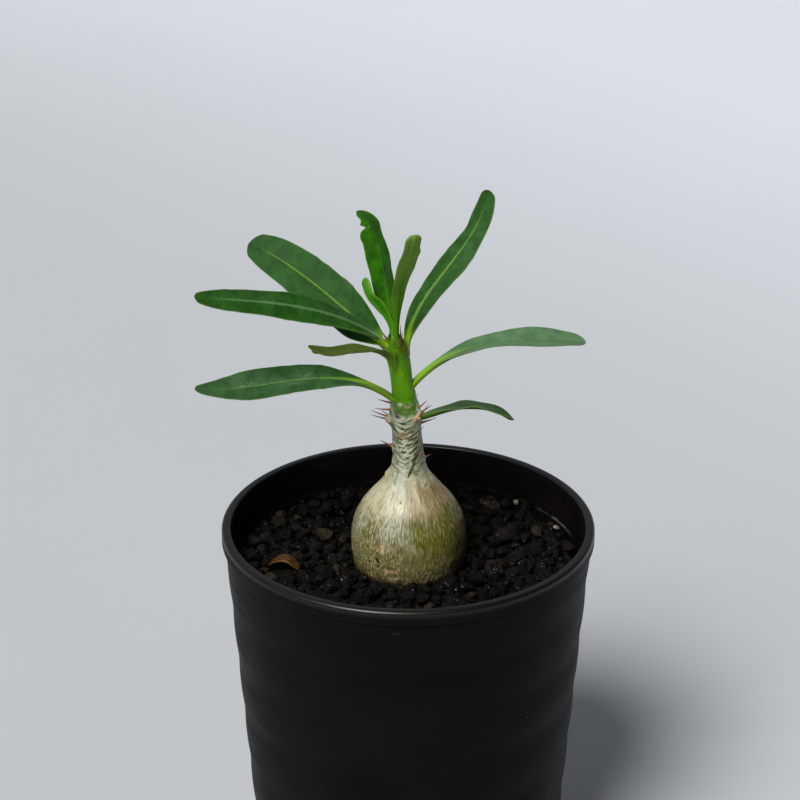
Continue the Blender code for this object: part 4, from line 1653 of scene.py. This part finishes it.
        # Green shows through thin skin at the right of the front, and at the back
        off_green = degrees_off(bearing, self.green_bearing)
        green_top = 107.6 + 0.02 * off_green - 1.2 * cloudy - 0.8 * fine
        patch = smooth_step(52, 12, off_green + 14 * cloudy) * smooth_step(green_top, green_top - 4.2, z)
        patch *= smooth_step(93, 101, z + 0.8 * cloudy) * 0.75 + 0.25
        off_back = degrees_off(bearing, self.back_green_bearing)
        back_patch = 0.7 * smooth_step(50, 20, off_back + 14 * cloudy) * smooth_step(103, 99, z)
        green = np.maximum(patch, back_patch) * body
        # Cream covers the shoulder, widest at the left of the front
        shoulder = smooth_step(102.6, 109.0, z + 1.8 * cloudy + 0.8 * fine)
        off_cream = degrees_off(bearing, self.cream_bearing)
        cream = shoulder * (0.15 + 0.85 * smooth_step(88, 30, off_cream + 12 * cloudy))
        cream = np.maximum(cream * (1 - 0.7 * green), 0.95 * smooth_step(110.0, 113.0, z))
        # Brown darkens the right side as painted shade, and stains the left of the foot
        off_right = degrees_off(bearing, self.shaded_right)
        stain = smooth_step(46, 12, off_right + 9 * cloudy) * smooth_step(108, 100, z) * 0.4
        towards_left = np.cos(np.radians(bearing - 215))
        foot = smooth_step(94.6, 90.0, z + 1.2 * fine) * (0.5 + 0.5 * towards_left)
        # A painted highlight runs up the front as a leaning silvery streak and lies in patches beside it
        above = np.clip(z - 100, 0, 12)
        leaning = self.streak_lean * np.clip(z - 97.5, 0, 8.5)
        off_streak = np.abs(bearing - self.streak_bearing + leaning)
        wide = 14 + 1.7 * above
        sheen = smooth_step(wide, 0.25 * wide, off_streak + 8 * cloudy) * (0.30 + 0.04 * above)
        sheen *= smooth_step(95.5, 101.5, z) * smooth_step(121, 113, z)
        patches = fractal(skin * (1, 1, 0.6), 2.6, 41, 3) + 0.5 * np.cos(np.radians(bearing - 225))
        patches = 0.38 * smooth_step(0.35, 0.75, patches) * body * smooth_step(96, 101, z)
        sheen = np.maximum(sheen, patches)
        # The silver net is strongest at the lit left, where it is partly painted highlight, and fades up
        # the shoulder
        low = smooth_step(102.5, 97.5, z + 0.6 * cloudy)
        low *= 0.35 + 0.65 * smooth_step(300, 235, bearing)
        silver = body * (0.78 + 0.30 * cloudy) * (0.84 + 0.16 * towards_left)
        silver *= 0.80 + 0.20 * smooth_step(96, 100.5, z)
        silver *= (1 - 0.22 * green) * (1 - 0.40 * stain) * (1 - 0.70 * smooth_step(103.5, 109, z))
        # The neck is plated, darkened at both sides as painted shade, and live green at its top
        height, run = z[:, 0], skin[:, 0, 2]
        neck = smooth_step(110.5, 118.5, z + 1.5 * cloudy + 0.8 * fine)
        live_low = 128.6 + 1.4 * degrees_off(bearing, 275) / 60
        live = smooth_step(live_low, live_low + 1.6, z + 1.2 * cloudy + 0.7 * fine)
        # Painted shade darkens the base where it meets the mix
        soiled = 0.85 * smooth_step(91.2, 89.4, z + 0.9 * fine) * body
        beside = 3.6 * past(angle, 253)[None, :]
        # Painted shade darkens both sides of the neck; the stain marks join it
        aged = 0.45 * smooth_step(70, 25, off_right + 14 * cloudy) * neck * smooth_step(130, 127, z)
        off_left = degrees_off(bearing, self.shaded_left)
        aged = np.maximum(aged, 0.38 * smooth_step(58, 15, off_left + 14 * cloudy) * neck)
        aged = np.maximum(aged, self.mark_field(STAIN_AND_SHADE, angle, height, run))
        shining = np.maximum(sheen, self.mark_field(PAINTED_SHEEN, angle, height, run))
        return {
            "shoulder": shoulder,
            "cream": cream,
            "green": green,
            "live": live,
            "soiled": soiled,
            "brown": np.clip(stain + 0.7 * np.clip(foot, 0, 1), 0, 1) * body + aged,
            "silver": np.clip(silver, 0, 1),
            "low": low,
            "sheen": np.clip(shining, 0, 1),
            "neck": neck,
            "garland": (z - 0.5 * (np.hypot(beside, 0.8) - 0.8)) * MM,
            "furrow": self.mark_field(CRACK, angle, height, run),
            "cork": self.mark_field(CORK, angle, height, run),
            "pit": self.mark_field(PIT, angle, height, run),
        }

    def swellings(self, angle: Array, z: Array) -> Array:
        """The knobs that spines and old stalks stand on.

        Args:
            angle: the direction of each column in radians.
            z: the height of each point.

        Returns:
            How far each point is pushed out, in mm.
        """
        total = np.zeros_like(z)
        for height, bearing, size, reach in self.knobs:
            far = np.hypot(past(angle, bearing)[None, :] * 3.6, z - height) / reach
            total += size * np.exp(-(far**2))
        return total

    def build_shoot(self, finish: Material) -> None:
        """Makes the green shoot, with a swelling and a dark trace of painted shade below each stalk.

        Args:
            finish: the shoot's material.
        """
        sides, count = self.shoot_sides, self.shoot_rows
        height = np.linspace(self.shoot_low, self.shoot_high, count)
        angle = full_turn(sides)
        inside = smooth_step(134.2, 132.6, height)
        radius = (self.radius(height) - self.shoot_tuck * inside)[:, None] + 0 * angle
        z = height[:, None] + 0 * angle
        deep = np.zeros_like(z)
        for leaf in LEAVES:
            off = past(angle, leaf.bearing)[None, :]
            down = leaf.height - z
            wide = np.exp(-((off / 0.55) ** 2))
            below = smooth_step(-0.5, 0.6, down) * smooth_step(7.5, 1.0, down)
            radius += self.stalk_swell * wide * below
            # Painted shade lies in two dark lines along the swelling's sides
            side = np.exp(-(((np.abs(off) - 0.62) / 0.16) ** 2))
            deep = np.maximum(deep, 0.28 * side * below)
        # Painted shade darkens the shoot among the leaves and in a wavy band above the collar
        deep = np.maximum(deep, 0.75 * smooth_step(140.5, 144.5, z))
        wavy = 1.1 * noise(on_circles(3, angle, z), 1.6, 9)
        deep = np.maximum(deep, 0.3 * smooth_step(136.4, 133.8, z + wavy))
        # A stalk's foot wraps the shoot, so its edge climbs aslant as a dark line, and the side past it
        # is darker: both painted shade
        bearing, slant, start = self.seam
        beyond = past(angle[None, :], bearing + slant * (start - z))
        deep = np.maximum(deep, 0.5 * smooth_step(0.0, 0.22, beyond) * smooth_step(2.2, 1.6, beyond))
        edge = np.exp(-((beyond / 0.06) ** 2)) * smooth_step(134.5, 136.5, z)
        deep = np.maximum(deep, 0.8 * edge * smooth_step(144, 142.5, z))
        spot = np.stack([angle + 0 * z, angle + 0 * z, z * 0.12], -1)
        stain = 0.5 * smooth_step(142, 146, z) * smooth_step(0.1, 0.6, noise(spot, 0.30, 5))
        stain = np.maximum(stain, self.mark_field(STAIN_AND_SHADE, angle, height, height))
        points = on_circles(radius, angle, z)
        points += self.middle(height)[:, None, :]
        piece = Piece("green_shoot", "caudex_bark", "stem")
        piece.add(points, grid_faces(count, sides, True), deep=deep, stain=stain)
        piece.cap(count, sides)
        piece.place(finish)


@dataclass
class Spines:
    """The paired spines round the neck and the dried stipules at the stalks."""

    stem: Stem
    spine_radius: float = 0.23
    sink: float = 0.7
    sides: int = 12
    rings: int = 15
    stipule_age: float = 0.85
    spines: tuple[Four, ...] = (
        (127.7, 181, 4.9, 18), (127.1, 183, 4.9, 13), (129.8, 186, 3.6, 2), (131.2, 172, 3.2, 8),
        (120.2, 186, 3.9, 26), (130.6, 344, 3.0, 40), (128.3, 316, 6.4, 50), (126.2, 2, 3.9, 14),
        (117.4, 352, 2.2, 22), (127.8, 30, 3.8, 16), (129.6, 62, 3.4, 22), (126.6, 84, 4.2, 8),
        (128.8, 118, 3.6, 18), (126.0, 140, 4.4, 12), (121.6, 52, 3.0, 20), (119.2, 118, 3.2, 16),
        (135.6, 336, 1.6, 40), (134.8, 40, 1.8, 40),
    )
    stipules: tuple[Four, ...] = (
        (147.4, 305, 4.6, 84), (147.6, 176, 2.8, 52), (148.2, 225, 2.0, 80), (144.5, 335, 3.4, 84),
        (140.8, 108, 2.2, 50), (146.0, 60, 2.6, 70),
    )

    def build(self, finish: Material) -> None:
        """Makes all the spines as one piece.

        Args:
            finish: the spines' material.
        """
        piece = Piece("spines", "caudex_bark", "stem")
        for aged, group in ((0.0, self.spines), (self.stipule_age, self.stipules)):
            for place in group:
                points, faces, share = self.spine(*place)
                piece.add(points, faces, spine_share=share, aged=aged)
        piece.place(finish)

    def spine(self, height: float, bearing: float, length: float, rise: float) -> tuple:
        """One spine: a slim curved cone with a swollen foot.

        Args:
            height: where it leaves the stem.
            bearing: its direction.
            length: its free length.
            rise: how steeply it points up.

        Returns:
            Its points, its faces and how far along the spine each point is.
        """
        along, side, lift = axes_of(bearing, rise)
        outward, _, _ = axes_of(bearing, 0)
        foot = self.stem.middle(height) + (0, 0, height) + outward * self.stem.radius(height)
        shares = np.linspace(0, 1, self.rings)
        whole = length + self.sink
        angle = full_turn(self.sides)
        rings = []
        for share in shares:
            thick = self.spine_radius * (1 - share) ** 0.8 + 0.02
            thick += 0.20 * length * self.spine_radius * math.exp(-((share * whole * 3 / length) ** 2))
            place = foot - along * self.sink + along * whole * share + lift * 0.35 * share**2
            rings.append(place + thick * (np.cos(angle)[:, None] * side + np.sin(angle)[:, None] * lift))
        points = np.concatenate(rings)
        faces = grid_faces(self.rings, self.sides, True)
        return points, faces, np.repeat(shares, self.sides)


# The leaves


@dataclass(frozen=True)
class Leaf:
    """One leaf: where it leaves the stem, how its midrib runs, its blade and its finish.

    The midrib's rise goes from the first value at the stem through the second halfway to the third
    at the tip. Roll turns the blade about its midrib, and fold lifts its two halves.
    """

    name: str
    height: float
    bearing: float
    start: float
    length: float
    heading: Pair
    rise: Triple
    roll: float
    width: float
    fold: float
    shape: Pair
    finish: LeafBlade
    blunt: float = 0.025
    hook: float = 0.0
    notches: tuple[Four, ...] = ()
    scuffs: tuple[Four, ...] = ()
    slot: str = "leaf_mature"
    stalk_share: float = 0.13
    stalk_reach: float = 1.9
    stalk_half: float = 0.8
    stalk_depth: float = 1.35
    blade_depth: float = 0.42
    rib_depth: float = 0.46
    wave_height: float = 0.22
    margin_height: float = 0.10
    quilt_height: float = 0.05
    rib_sink: float = 0.16
    scuff_strength: float = 0.4
    path_steps: int = 600
    rows: int = 121
    tip_rows: int = 30
    tip_from: float = 0.93
    columns: int = 29

    def axes(self, share: Array) -> tuple[Array, Array, Array]:
        """The midrib's direction, the blade's sideways direction and its upper face's normal.

        Args:
            share: places along the leaf, from 0 to 1.

        Returns:
            Three arrays of directions.
        """
        low, half, high = self.rise
        rise = low * (1 - share) * (1 - 2 * share) + 4 * half * share * (1 - share)
        rise = np.radians(rise + high * share * (2 * share - 1))
        heading = np.radians(self.heading[0] + (self.heading[1] - self.heading[0]) * share)
        flat = np.cos(rise)
        along = np.stack([flat * np.cos(heading), flat * np.sin(heading), np.sin(rise)], -1)
        side = np.stack([np.sin(heading), -np.cos(heading), 0 * heading], -1)
        up = np.cross(side, along)
        roll = np.radians(self.roll) * np.minimum(1, share / 0.4)
        c, s = np.cos(roll)[:, None], np.sin(roll)[:, None]
        side, up = side * c - up * s, up * c + side * s
        curl = np.radians(self.hook) * smooth_step(0.87, 1.0, share)
        c, s = np.cos(curl)[:, None], np.sin(curl)[:, None]
        return along * c - side * s, side * c + along * s, up

    def half_width(self, share: Array) -> Array:
        """Half the blade's width along the leaf: a stalk, then a long oval with a rounded tip.

        Args:
            share: places along the leaf, from 0 to 1.

        Returns:
            The half width in mm.
        """
        rise, fall = self.shape
        along = np.clip((share - self.stalk_share) / (1 - self.stalk_share), 0, 1)
        along = along - self.blunt * smooth_step(0.6, 1.0, along)
        peak = rise / (rise + fall)
        form = along**rise * (1 - along) ** fall / (peak**rise * (1 - peak) ** fall)
        blade = np.hypot(self.stalk_half * (1 - along) ** 0.5, self.width / 2 * form)
        flare = 0.45 * smooth_step(0.05, 0.0, share)
        cap = 0.95 * blade[-1] / self.length
        ended = np.clip((share - 1 + cap) / cap, 0, 1)
        blade = blade * np.sqrt(np.clip(1 - ended**2, 0, 1))
        return np.where(share <= self.stalk_share, self.stalk_half, blade) + flare

    def shares(self) -> Array:
        """Where the rows lie along the leaf, from 0 to 1, closer together towards the tip.

        Returns:
            One share for each row.
        """
        even = np.linspace(0, self.tip_from, self.rows)
        closer = np.sin(np.linspace(0, math.pi / 2, self.tip_rows + 1)[1:])
        share = np.concatenate([even, self.tip_from + (1 - self.tip_from) * closer])
        share[-1] = 0.99996
        return share

    def midrib(self, stem: Stem, share: Array) -> Array:
        """Where the midrib runs, summed up from its direction step by step.

        Args:
            stem: the stem that the leaf grows from.
            share: places along the leaf, from 0 to 1.

        Returns:
            A place in mm for each share.
        """
        steps = self.path_steps
        along, _, _ = self.axes((np.arange(steps) + 0.5) / steps)
        out, _, _ = axes_of(self.bearing, 0)
        base = stem.middle(self.height) + (0, 0, self.height) + out * self.start
        path = base + np.concatenate([np.zeros((1, 3)), np.cumsum(along * self.length / steps, 0)])
        marks = np.arange(steps + 1) / steps
        return np.stack([np.interp(share, marks, path[:, k]) for k in range(3)], -1)

    def build(self, stem: Stem) -> None:
        """Makes the leaf with its sunk rib, raised keel and rounded margins.

        Args:
            stem: the stem that it grows from.
        """
        share = self.shares()
        place = self.midrib(stem, share)
        _, side, up = self.axes(share)
        # From here c runs across the blade from -1 to 1, closer together at the margins
        bend = np.sin(np.linspace(-math.pi / 2, math.pi / 2, self.columns))
        c = (np.sign(bend) * np.abs(bend) ** 1.15)[None, :]
        half = self.half_width(share)
        h = half[:, None]
        spread = np.clip((share - self.stalk_share) / 0.3, 0, 1)[:, None]
        lift = math.tan(math.radians(self.fold)) * spread
        ruffle = self.wave_height * spread * np.sin(share * 17 + self.bearing)[:, None]
        rounded = np.sqrt(c**2 + 0.07**2) - 0.07
        run = (share * self.length)[:, None] + 0 * c
        spot = np.stack([c * h, run, 0 * run], -1)
        margin_wave = self.margin_height * spread * np.abs(c) ** 3
        margin_wave = margin_wave * noise(spot + self.height * 3, 5.0, 2)
        quilt = self.quilt_height * spread * noise(spot + self.bearing, 1.6, 5)
        quilt = quilt * (1 - np.abs(c) ** 4)
        away = np.abs(c) * h
        rib_half = 0.62 - 0.42 * share[:, None]
        sunk = self.rib_sink * spread * np.exp(-((away / rib_half) ** 2))
        sunk = sunk * (1 - 0.5 * share[:, None])
        height = h * lift * rounded - 0.25 * h * lift * c**2 + ruffle * c
        height = height + margin_wave + quilt - sunk - 0.10 * (1 - np.abs(c))
        thin = np.sqrt(np.clip(1 - np.abs(c) ** 7, 0, 1))
        keel = self.rib_depth * np.exp(-((away / (rib_half * 1.5)) ** 2)) * (1 - 0.5 * share[:, None])
        blade = self.blade_depth * (0.25 + 0.75 * thin) + keel
        stalk = self.stalk_depth * (0.2 + 0.8 * np.sqrt(np.clip(1 - c**2, 0, 1)))
        end = 0.95 * half.max() * 0.5 / self.length
        depth = (stalk + (blade - stalk) * spread) * np.sqrt(smooth_step(1.0, 1 - end, share))[:, None]
        ragged = 1 + 0.02 * spread[:, 0] * noise(np.stack([run[:, 0], 0 * share, 0 * share], -1), 1.8, 3)
        torn = np.ones_like(c * h)
        for hand, at, depth_share, reach in self.notches:
            dip = np.exp(-(((share - at) / reach) ** 2))[:, None]
            torn -= depth_share * dip * smooth_step(0.0, 0.5, hand * c)
        sideways = side[:, None, :] * (c * h * ragged[:, None] * torn)[..., None]
        upper = place[:, None, :] + sideways + up[:, None, :] * height[..., None]
        lower = upper - up[:, None, :] * depth[..., None]
        # The stalk's colour runs up the rib as a wedge
        wedge = 1 + 0.8 * np.exp(-((away / 0.7) ** 2))
        reach = self.stalk_share * self.stalk_reach
        stalk_trait = smooth_step(reach, self.stalk_share * 0.6, share[:, None] / wedge)
        piece = Piece(self.name + "_blade", self.slot, self.name)
        piece.add_slab(upper, lower, across=c * h, edge=(1 - np.abs(c)) * h, run=run, stalk=stalk_trait,
                       along=share[:, None] + 0 * c, scuff=self.scuffed(share, c * h))
        piece.place(self.finish.material(self.name))

    def scuffed(self, share: Array, across: Array) -> Array:
        """How far each point of the blade lies in a pale scuff.

        Args:
            share: the places of the rows along the leaf.
            across: how far each point is from the midrib, in mm.

        Returns:
            A value between 0 and 1 for each point.
        """
        found = 0 * across
        for at, side, length, width in self.scuffs:
            far = np.hypot((share - at)[:, None] * self.length / length, (across - side) / width)
            found = np.maximum(found, self.scuff_strength * smooth_step(1.0, 0.3, far))
        return found


# The leaves' skins differ with their age, and each is made lighter or darker as painted light for
# how the light meets that leaf
DARK = LeafBlade()
FRESH = LeafBlade(face="#358004", shade="#255a04", rib="#7aa83c", margin="#6f9a2c", back="#4d9a10",
                  stalk="#559a10", rib_strength=0.22, specular=0.3)
# VIVID's wide pale rib is partly painted highlight: a sheen line along the fold
VIVID = LeafBlade(face="#2a5d17", shade="#1e4a0e", rib="#78a070", back="#3f7c1c", rib_strength=0.45,
                  specular=0.45, gloss=(0.26, 0.38), rib_half_width=(0.9, 0.3))
BRIGHT = LeafBlade(face="#33622b", shade="#274f20", rib="#83a03c", back="#4d7a30", specular=0.12,
                   gloss=(0.55, 0.68))
HIGH = LeafBlade(face="#2f6026", shade="#234c17", rib="#79a548", back="#4a7a30", specular=0.20,
                 gloss=(0.46, 0.58), rib_half_width=(0.75, 0.14), vein_strength=0.05)
# GREY's pale grey-green face is partly painted sheen from the sky
GREY = LeafBlade(face="#648a62", shade="#517850", rib="#5f8548", back="#4a7030", rib_strength=0.3)
LOW = LeafBlade(face="#34522c", shade="#2a4524", rib="#4f703c", back="#46681f", stalk="#4d7a1c",
                rib_strength=0.3)
OLIVE = LeafBlade(face="#556a22", shade="#485d18", rib="#66782c", back="#556a1e", stalk="#76a61e",
                  specular=0.15, gloss=(0.5, 0.6))
UNDER = LeafBlade(face="#5e8426", shade="#4c7418", rib="#6f9138", back="#74983e", stalk="#457f08",
                  specular=0.08, gloss=(0.55, 0.65))

LEAVES = (
    Leaf("leaf_low_right", 128.0, 336, 1.6, 26.2, (348, 338), (21, 12, -34), -5, 5.2, 10,
         (0.7, 0.95), LOW),
    Leaf("leaf_low_left", 132.0, 190, 1.2, 50.0, (188, 192), (47, -2, 10), -27, 8.9, 8,
         (1.1, 0.82), DARK,
         scuffs=((0.46, 0.8, 2.4, 1.0), (0.55, -1.2, 3.4, 0.8), (0.75, 0.6, 3.0, 0.8))),
    Leaf("leaf_mid_right", 135.0, 5, 1.0, 46.5, (7, 13), (56, 6, -8), 3, 9.9, 13,
         (1.2, 0.47), GREY, stalk_reach=2.3, stalk_half=0.92),
    Leaf("leaf_front_left", 139.6, 250, 1.0, 36.6, (238, 226), (72, 17, 27), -4, 5.6, 2,
         (0.9, 0.30), OLIVE, blunt=0.09),
    Leaf("leaf_high_right", 143.5, 20, 1.6, 45.0, (45, 41), (88, 36, 81), 3, 7.9, -15,
         (0.68, 0.56), HIGH, blunt=0.04, stalk_share=0.08, notches=((-1, 0.78, 0.12, 0.05),)),
    Leaf("leaf_mid_left", 146.1, 200, 1.0, 50.5, (196, 197), (46, 17, 11), -34, 7.6, -12,
         (0.54, 0.55), VIVID, stalk_share=0.08, stalk_reach=1.3),
    Leaf("leaf_high_left", 144.2, 152, 1.0, 44.3, (152, 151), (32, 30, 13), -41, 11.2, 5,
         (0.47, 0.45), BRIGHT, blunt=0.045, stalk_share=0.09, stalk_reach=2.0,
         notches=((-1, 0.20, -0.35, 0.10),)),
    Leaf("leaf_front_upright", 145.8, 266, 1.0, 37.1, (279, 292), (112, 55, 73), 3, 4.2, 4,
         (0.75, 0.25), UNDER, blunt=0.08, rib_depth=0.15, stalk_reach=4.5,
         notches=((-1, 0.84, -0.22, 0.03),)),
    Leaf("leaf_young_tall", 147.4, 78, 0.9, 32.0, (118, 129), (58, 72, 28), 7, 6.9, -26,
         (0.55, 0.52), FRESH, blunt=0.015, hook=74, slot="leaf_young",
         notches=((-1, 0.855, 0.6, 0.018), (-1, 0.79, -0.2, 0.04), (-1, 0.985, 0.75, 0.035),
                  (1, 0.90, -0.6, 0.08))),
    Leaf("leaf_young_small", 147.6, 196, 0.2, 17.3, (165, 173), (115, 44, 112), 38, 6.0, 12,
         (1.2, 0.9), FRESH, stalk_half=0.95, slot="leaf_young"),
)


# The dry scrap


@dataclass
class DryScrap:
    """A golden husk scrap that arches over the mix at the left."""

    centre: Pair = (-30.0, -3.4)
    length: float = 7.8
    width: float = 4.0
    height: float = 2.1
    thickness: float = 0.34
    turn: float = -12.0
    foot: float = 89.5
    fibres: float = 2.1
    rib_height: float = 0.09
    rows: int = 70
    columns: int = 23

    def build(self, finish: Material) -> None:
        """Makes the arched strip with ribbed fibres and torn ends.

        Args:
            finish: the husk's material.
        """
        share = np.linspace(0, 1, self.rows)[:, None]
        side = np.linspace(-1, 1, self.columns)[None, :]
        across = self.width / 2 * (0.45 + 0.55 * np.sin(math.pi * share) ** 0.6)
        nothing = 0 * share * side
        torn = 0.35 * noise(np.stack([9 * side + nothing, nothing, nothing], -1), 1.1, 2)
        arch = np.sin(math.pi * share)
        run = (share - 0.5) * (self.length + torn)
        ribs = self.rib_height * np.cos(side * math.tau * self.fibres + 1.5 * share)
        z = self.height * arch + 0.5 * (1 - side**2) * arch + ribs + 0.25
        z = z + 0.12 * noise(np.stack([run, across * side, 0 * run], -1), 1.4, 4)
        turn = math.radians(self.turn)
        c, s = math.cos(turn), math.sin(turn)
        upper = np.stack([run, across * side, z], -1) @ np.array(((c, s, 0), (-s, c, 0), (0, 0, 1)))
        upper = upper + (*self.centre, self.foot)
        piece = Piece("dry_husk_scrap", "dry_husk", "dry_scrap")
        piece.add_slab(upper, upper - (0, 0, self.thickness), fibre=self.fibres * side + 0.25 * share)
        piece.place(finish)


# The studio


@dataclass
class Studio:
    """The pale floor, the soft lights and the camera."""

    camera_place: Triple = (-1.963, -507.21, 360.07)
    camera_tilt: float = 24.2016
    lens: float = 106.05
    floor_half: float = 4000.0
    sensor: float = 36.0
    key_colour: str = "#fdfbf6"
    key_strength: float = 3.2
    key_bearing: float = 238.0
    key_rise: float = 52.0
    key_spread: float = 24.0
    sky_colour: str = "#f4f7fb"
    front_sky: float = 0.05
    back_sky: float = 0.30
    sky_faces: Triple = (-0.45, 0.78, 0.30)

    def build(self) -> None:
        """Makes the floor, the lights and the camera."""
        self.add_floor()
        self.add_sky()
        light = bpy.data.lights.new("soft_key", "SUN")
        light.energy = self.key_strength
        light.angle = math.radians(self.key_spread)
        light.color = linear(self.key_colour)[:3]
        key = bpy.data.objects.new("soft_key", light)
        lean, turn = math.radians(90 - self.key_rise), math.radians(self.key_bearing + 90)
        key.rotation_euler = (lean, 0, turn)
        bpy.context.scene.collection.objects.link(key)
        data = bpy.data.cameras.new("camera")
        data.lens, data.sensor_width = self.lens, self.sensor
        data.clip_start, data.clip_end = 0.01, 50.0
        camera = bpy.data.objects.new("camera", data)
        camera.location = [value * MM for value in self.camera_place]
        camera.rotation_euler = (math.radians(90 - self.camera_tilt), 0, 0)
        bpy.context.scene.collection.objects.link(camera)
        bpy.context.scene.camera = camera
        bpy.context.scene.view_settings.view_transform = "Standard"

    def add_floor(self) -> None:
        """Makes the pale matt floor."""
        half = self.floor_half * MM
        corners = [(-half, -half, 0), (half, -half, 0), (half, half, 0), (-half, half, 0)]
        mesh = bpy.data.meshes.new("floor")
        mesh.from_pydata(corners, [], [(0, 1, 2, 3)])
        floor = bpy.data.objects.new("floor", mesh)
        bpy.context.scene.collection.objects.link(floor)
        mesh.materials.append(StudioPaper().material())

    def add_sky(self) -> None:
        """Makes the soft surroundings: dim in front and brighter behind, like a pale wall."""
        world = bpy.data.worlds.new("soft_room")
        bpy.context.scene.world = world
        world.use_nodes = True
        tree = world.node_tree
        ground = tree.nodes["Background"]
        place = add_node(tree, "TexCoord", out="Generated")
        facing = add_node(tree, "VectorMath", place, self.sky_faces, operation="DOT_PRODUCT", out="Value")
        strength = add_node(tree, "MapRange", facing, -0.1, 0.8, self.front_sky, self.back_sky, **SOFT)
        ground.inputs["Color"].default_value = linear(self.sky_colour)
        tree.links.new(strength, ground.inputs["Strength"])


def main() -> None:
    """Builds the studio and every sub-assembly in order."""
    logging.basicConfig(level=logging.INFO, format="%(name)s %(relativeCreated)d ms: %(message)s")
    Studio().build()
    Pot().build(MouldedPolypropylene().material())
    PottingMix().build(PottingGrit().material())
    stem = Stem()
    stem.build(CaudexBark().material(), GreenShoot().material(), SpineWood().material())
    for leaf in LEAVES:
        leaf.build(stem)
    DryScrap().build(DryHusk().material())


if __name__ == "__main__":
    main()
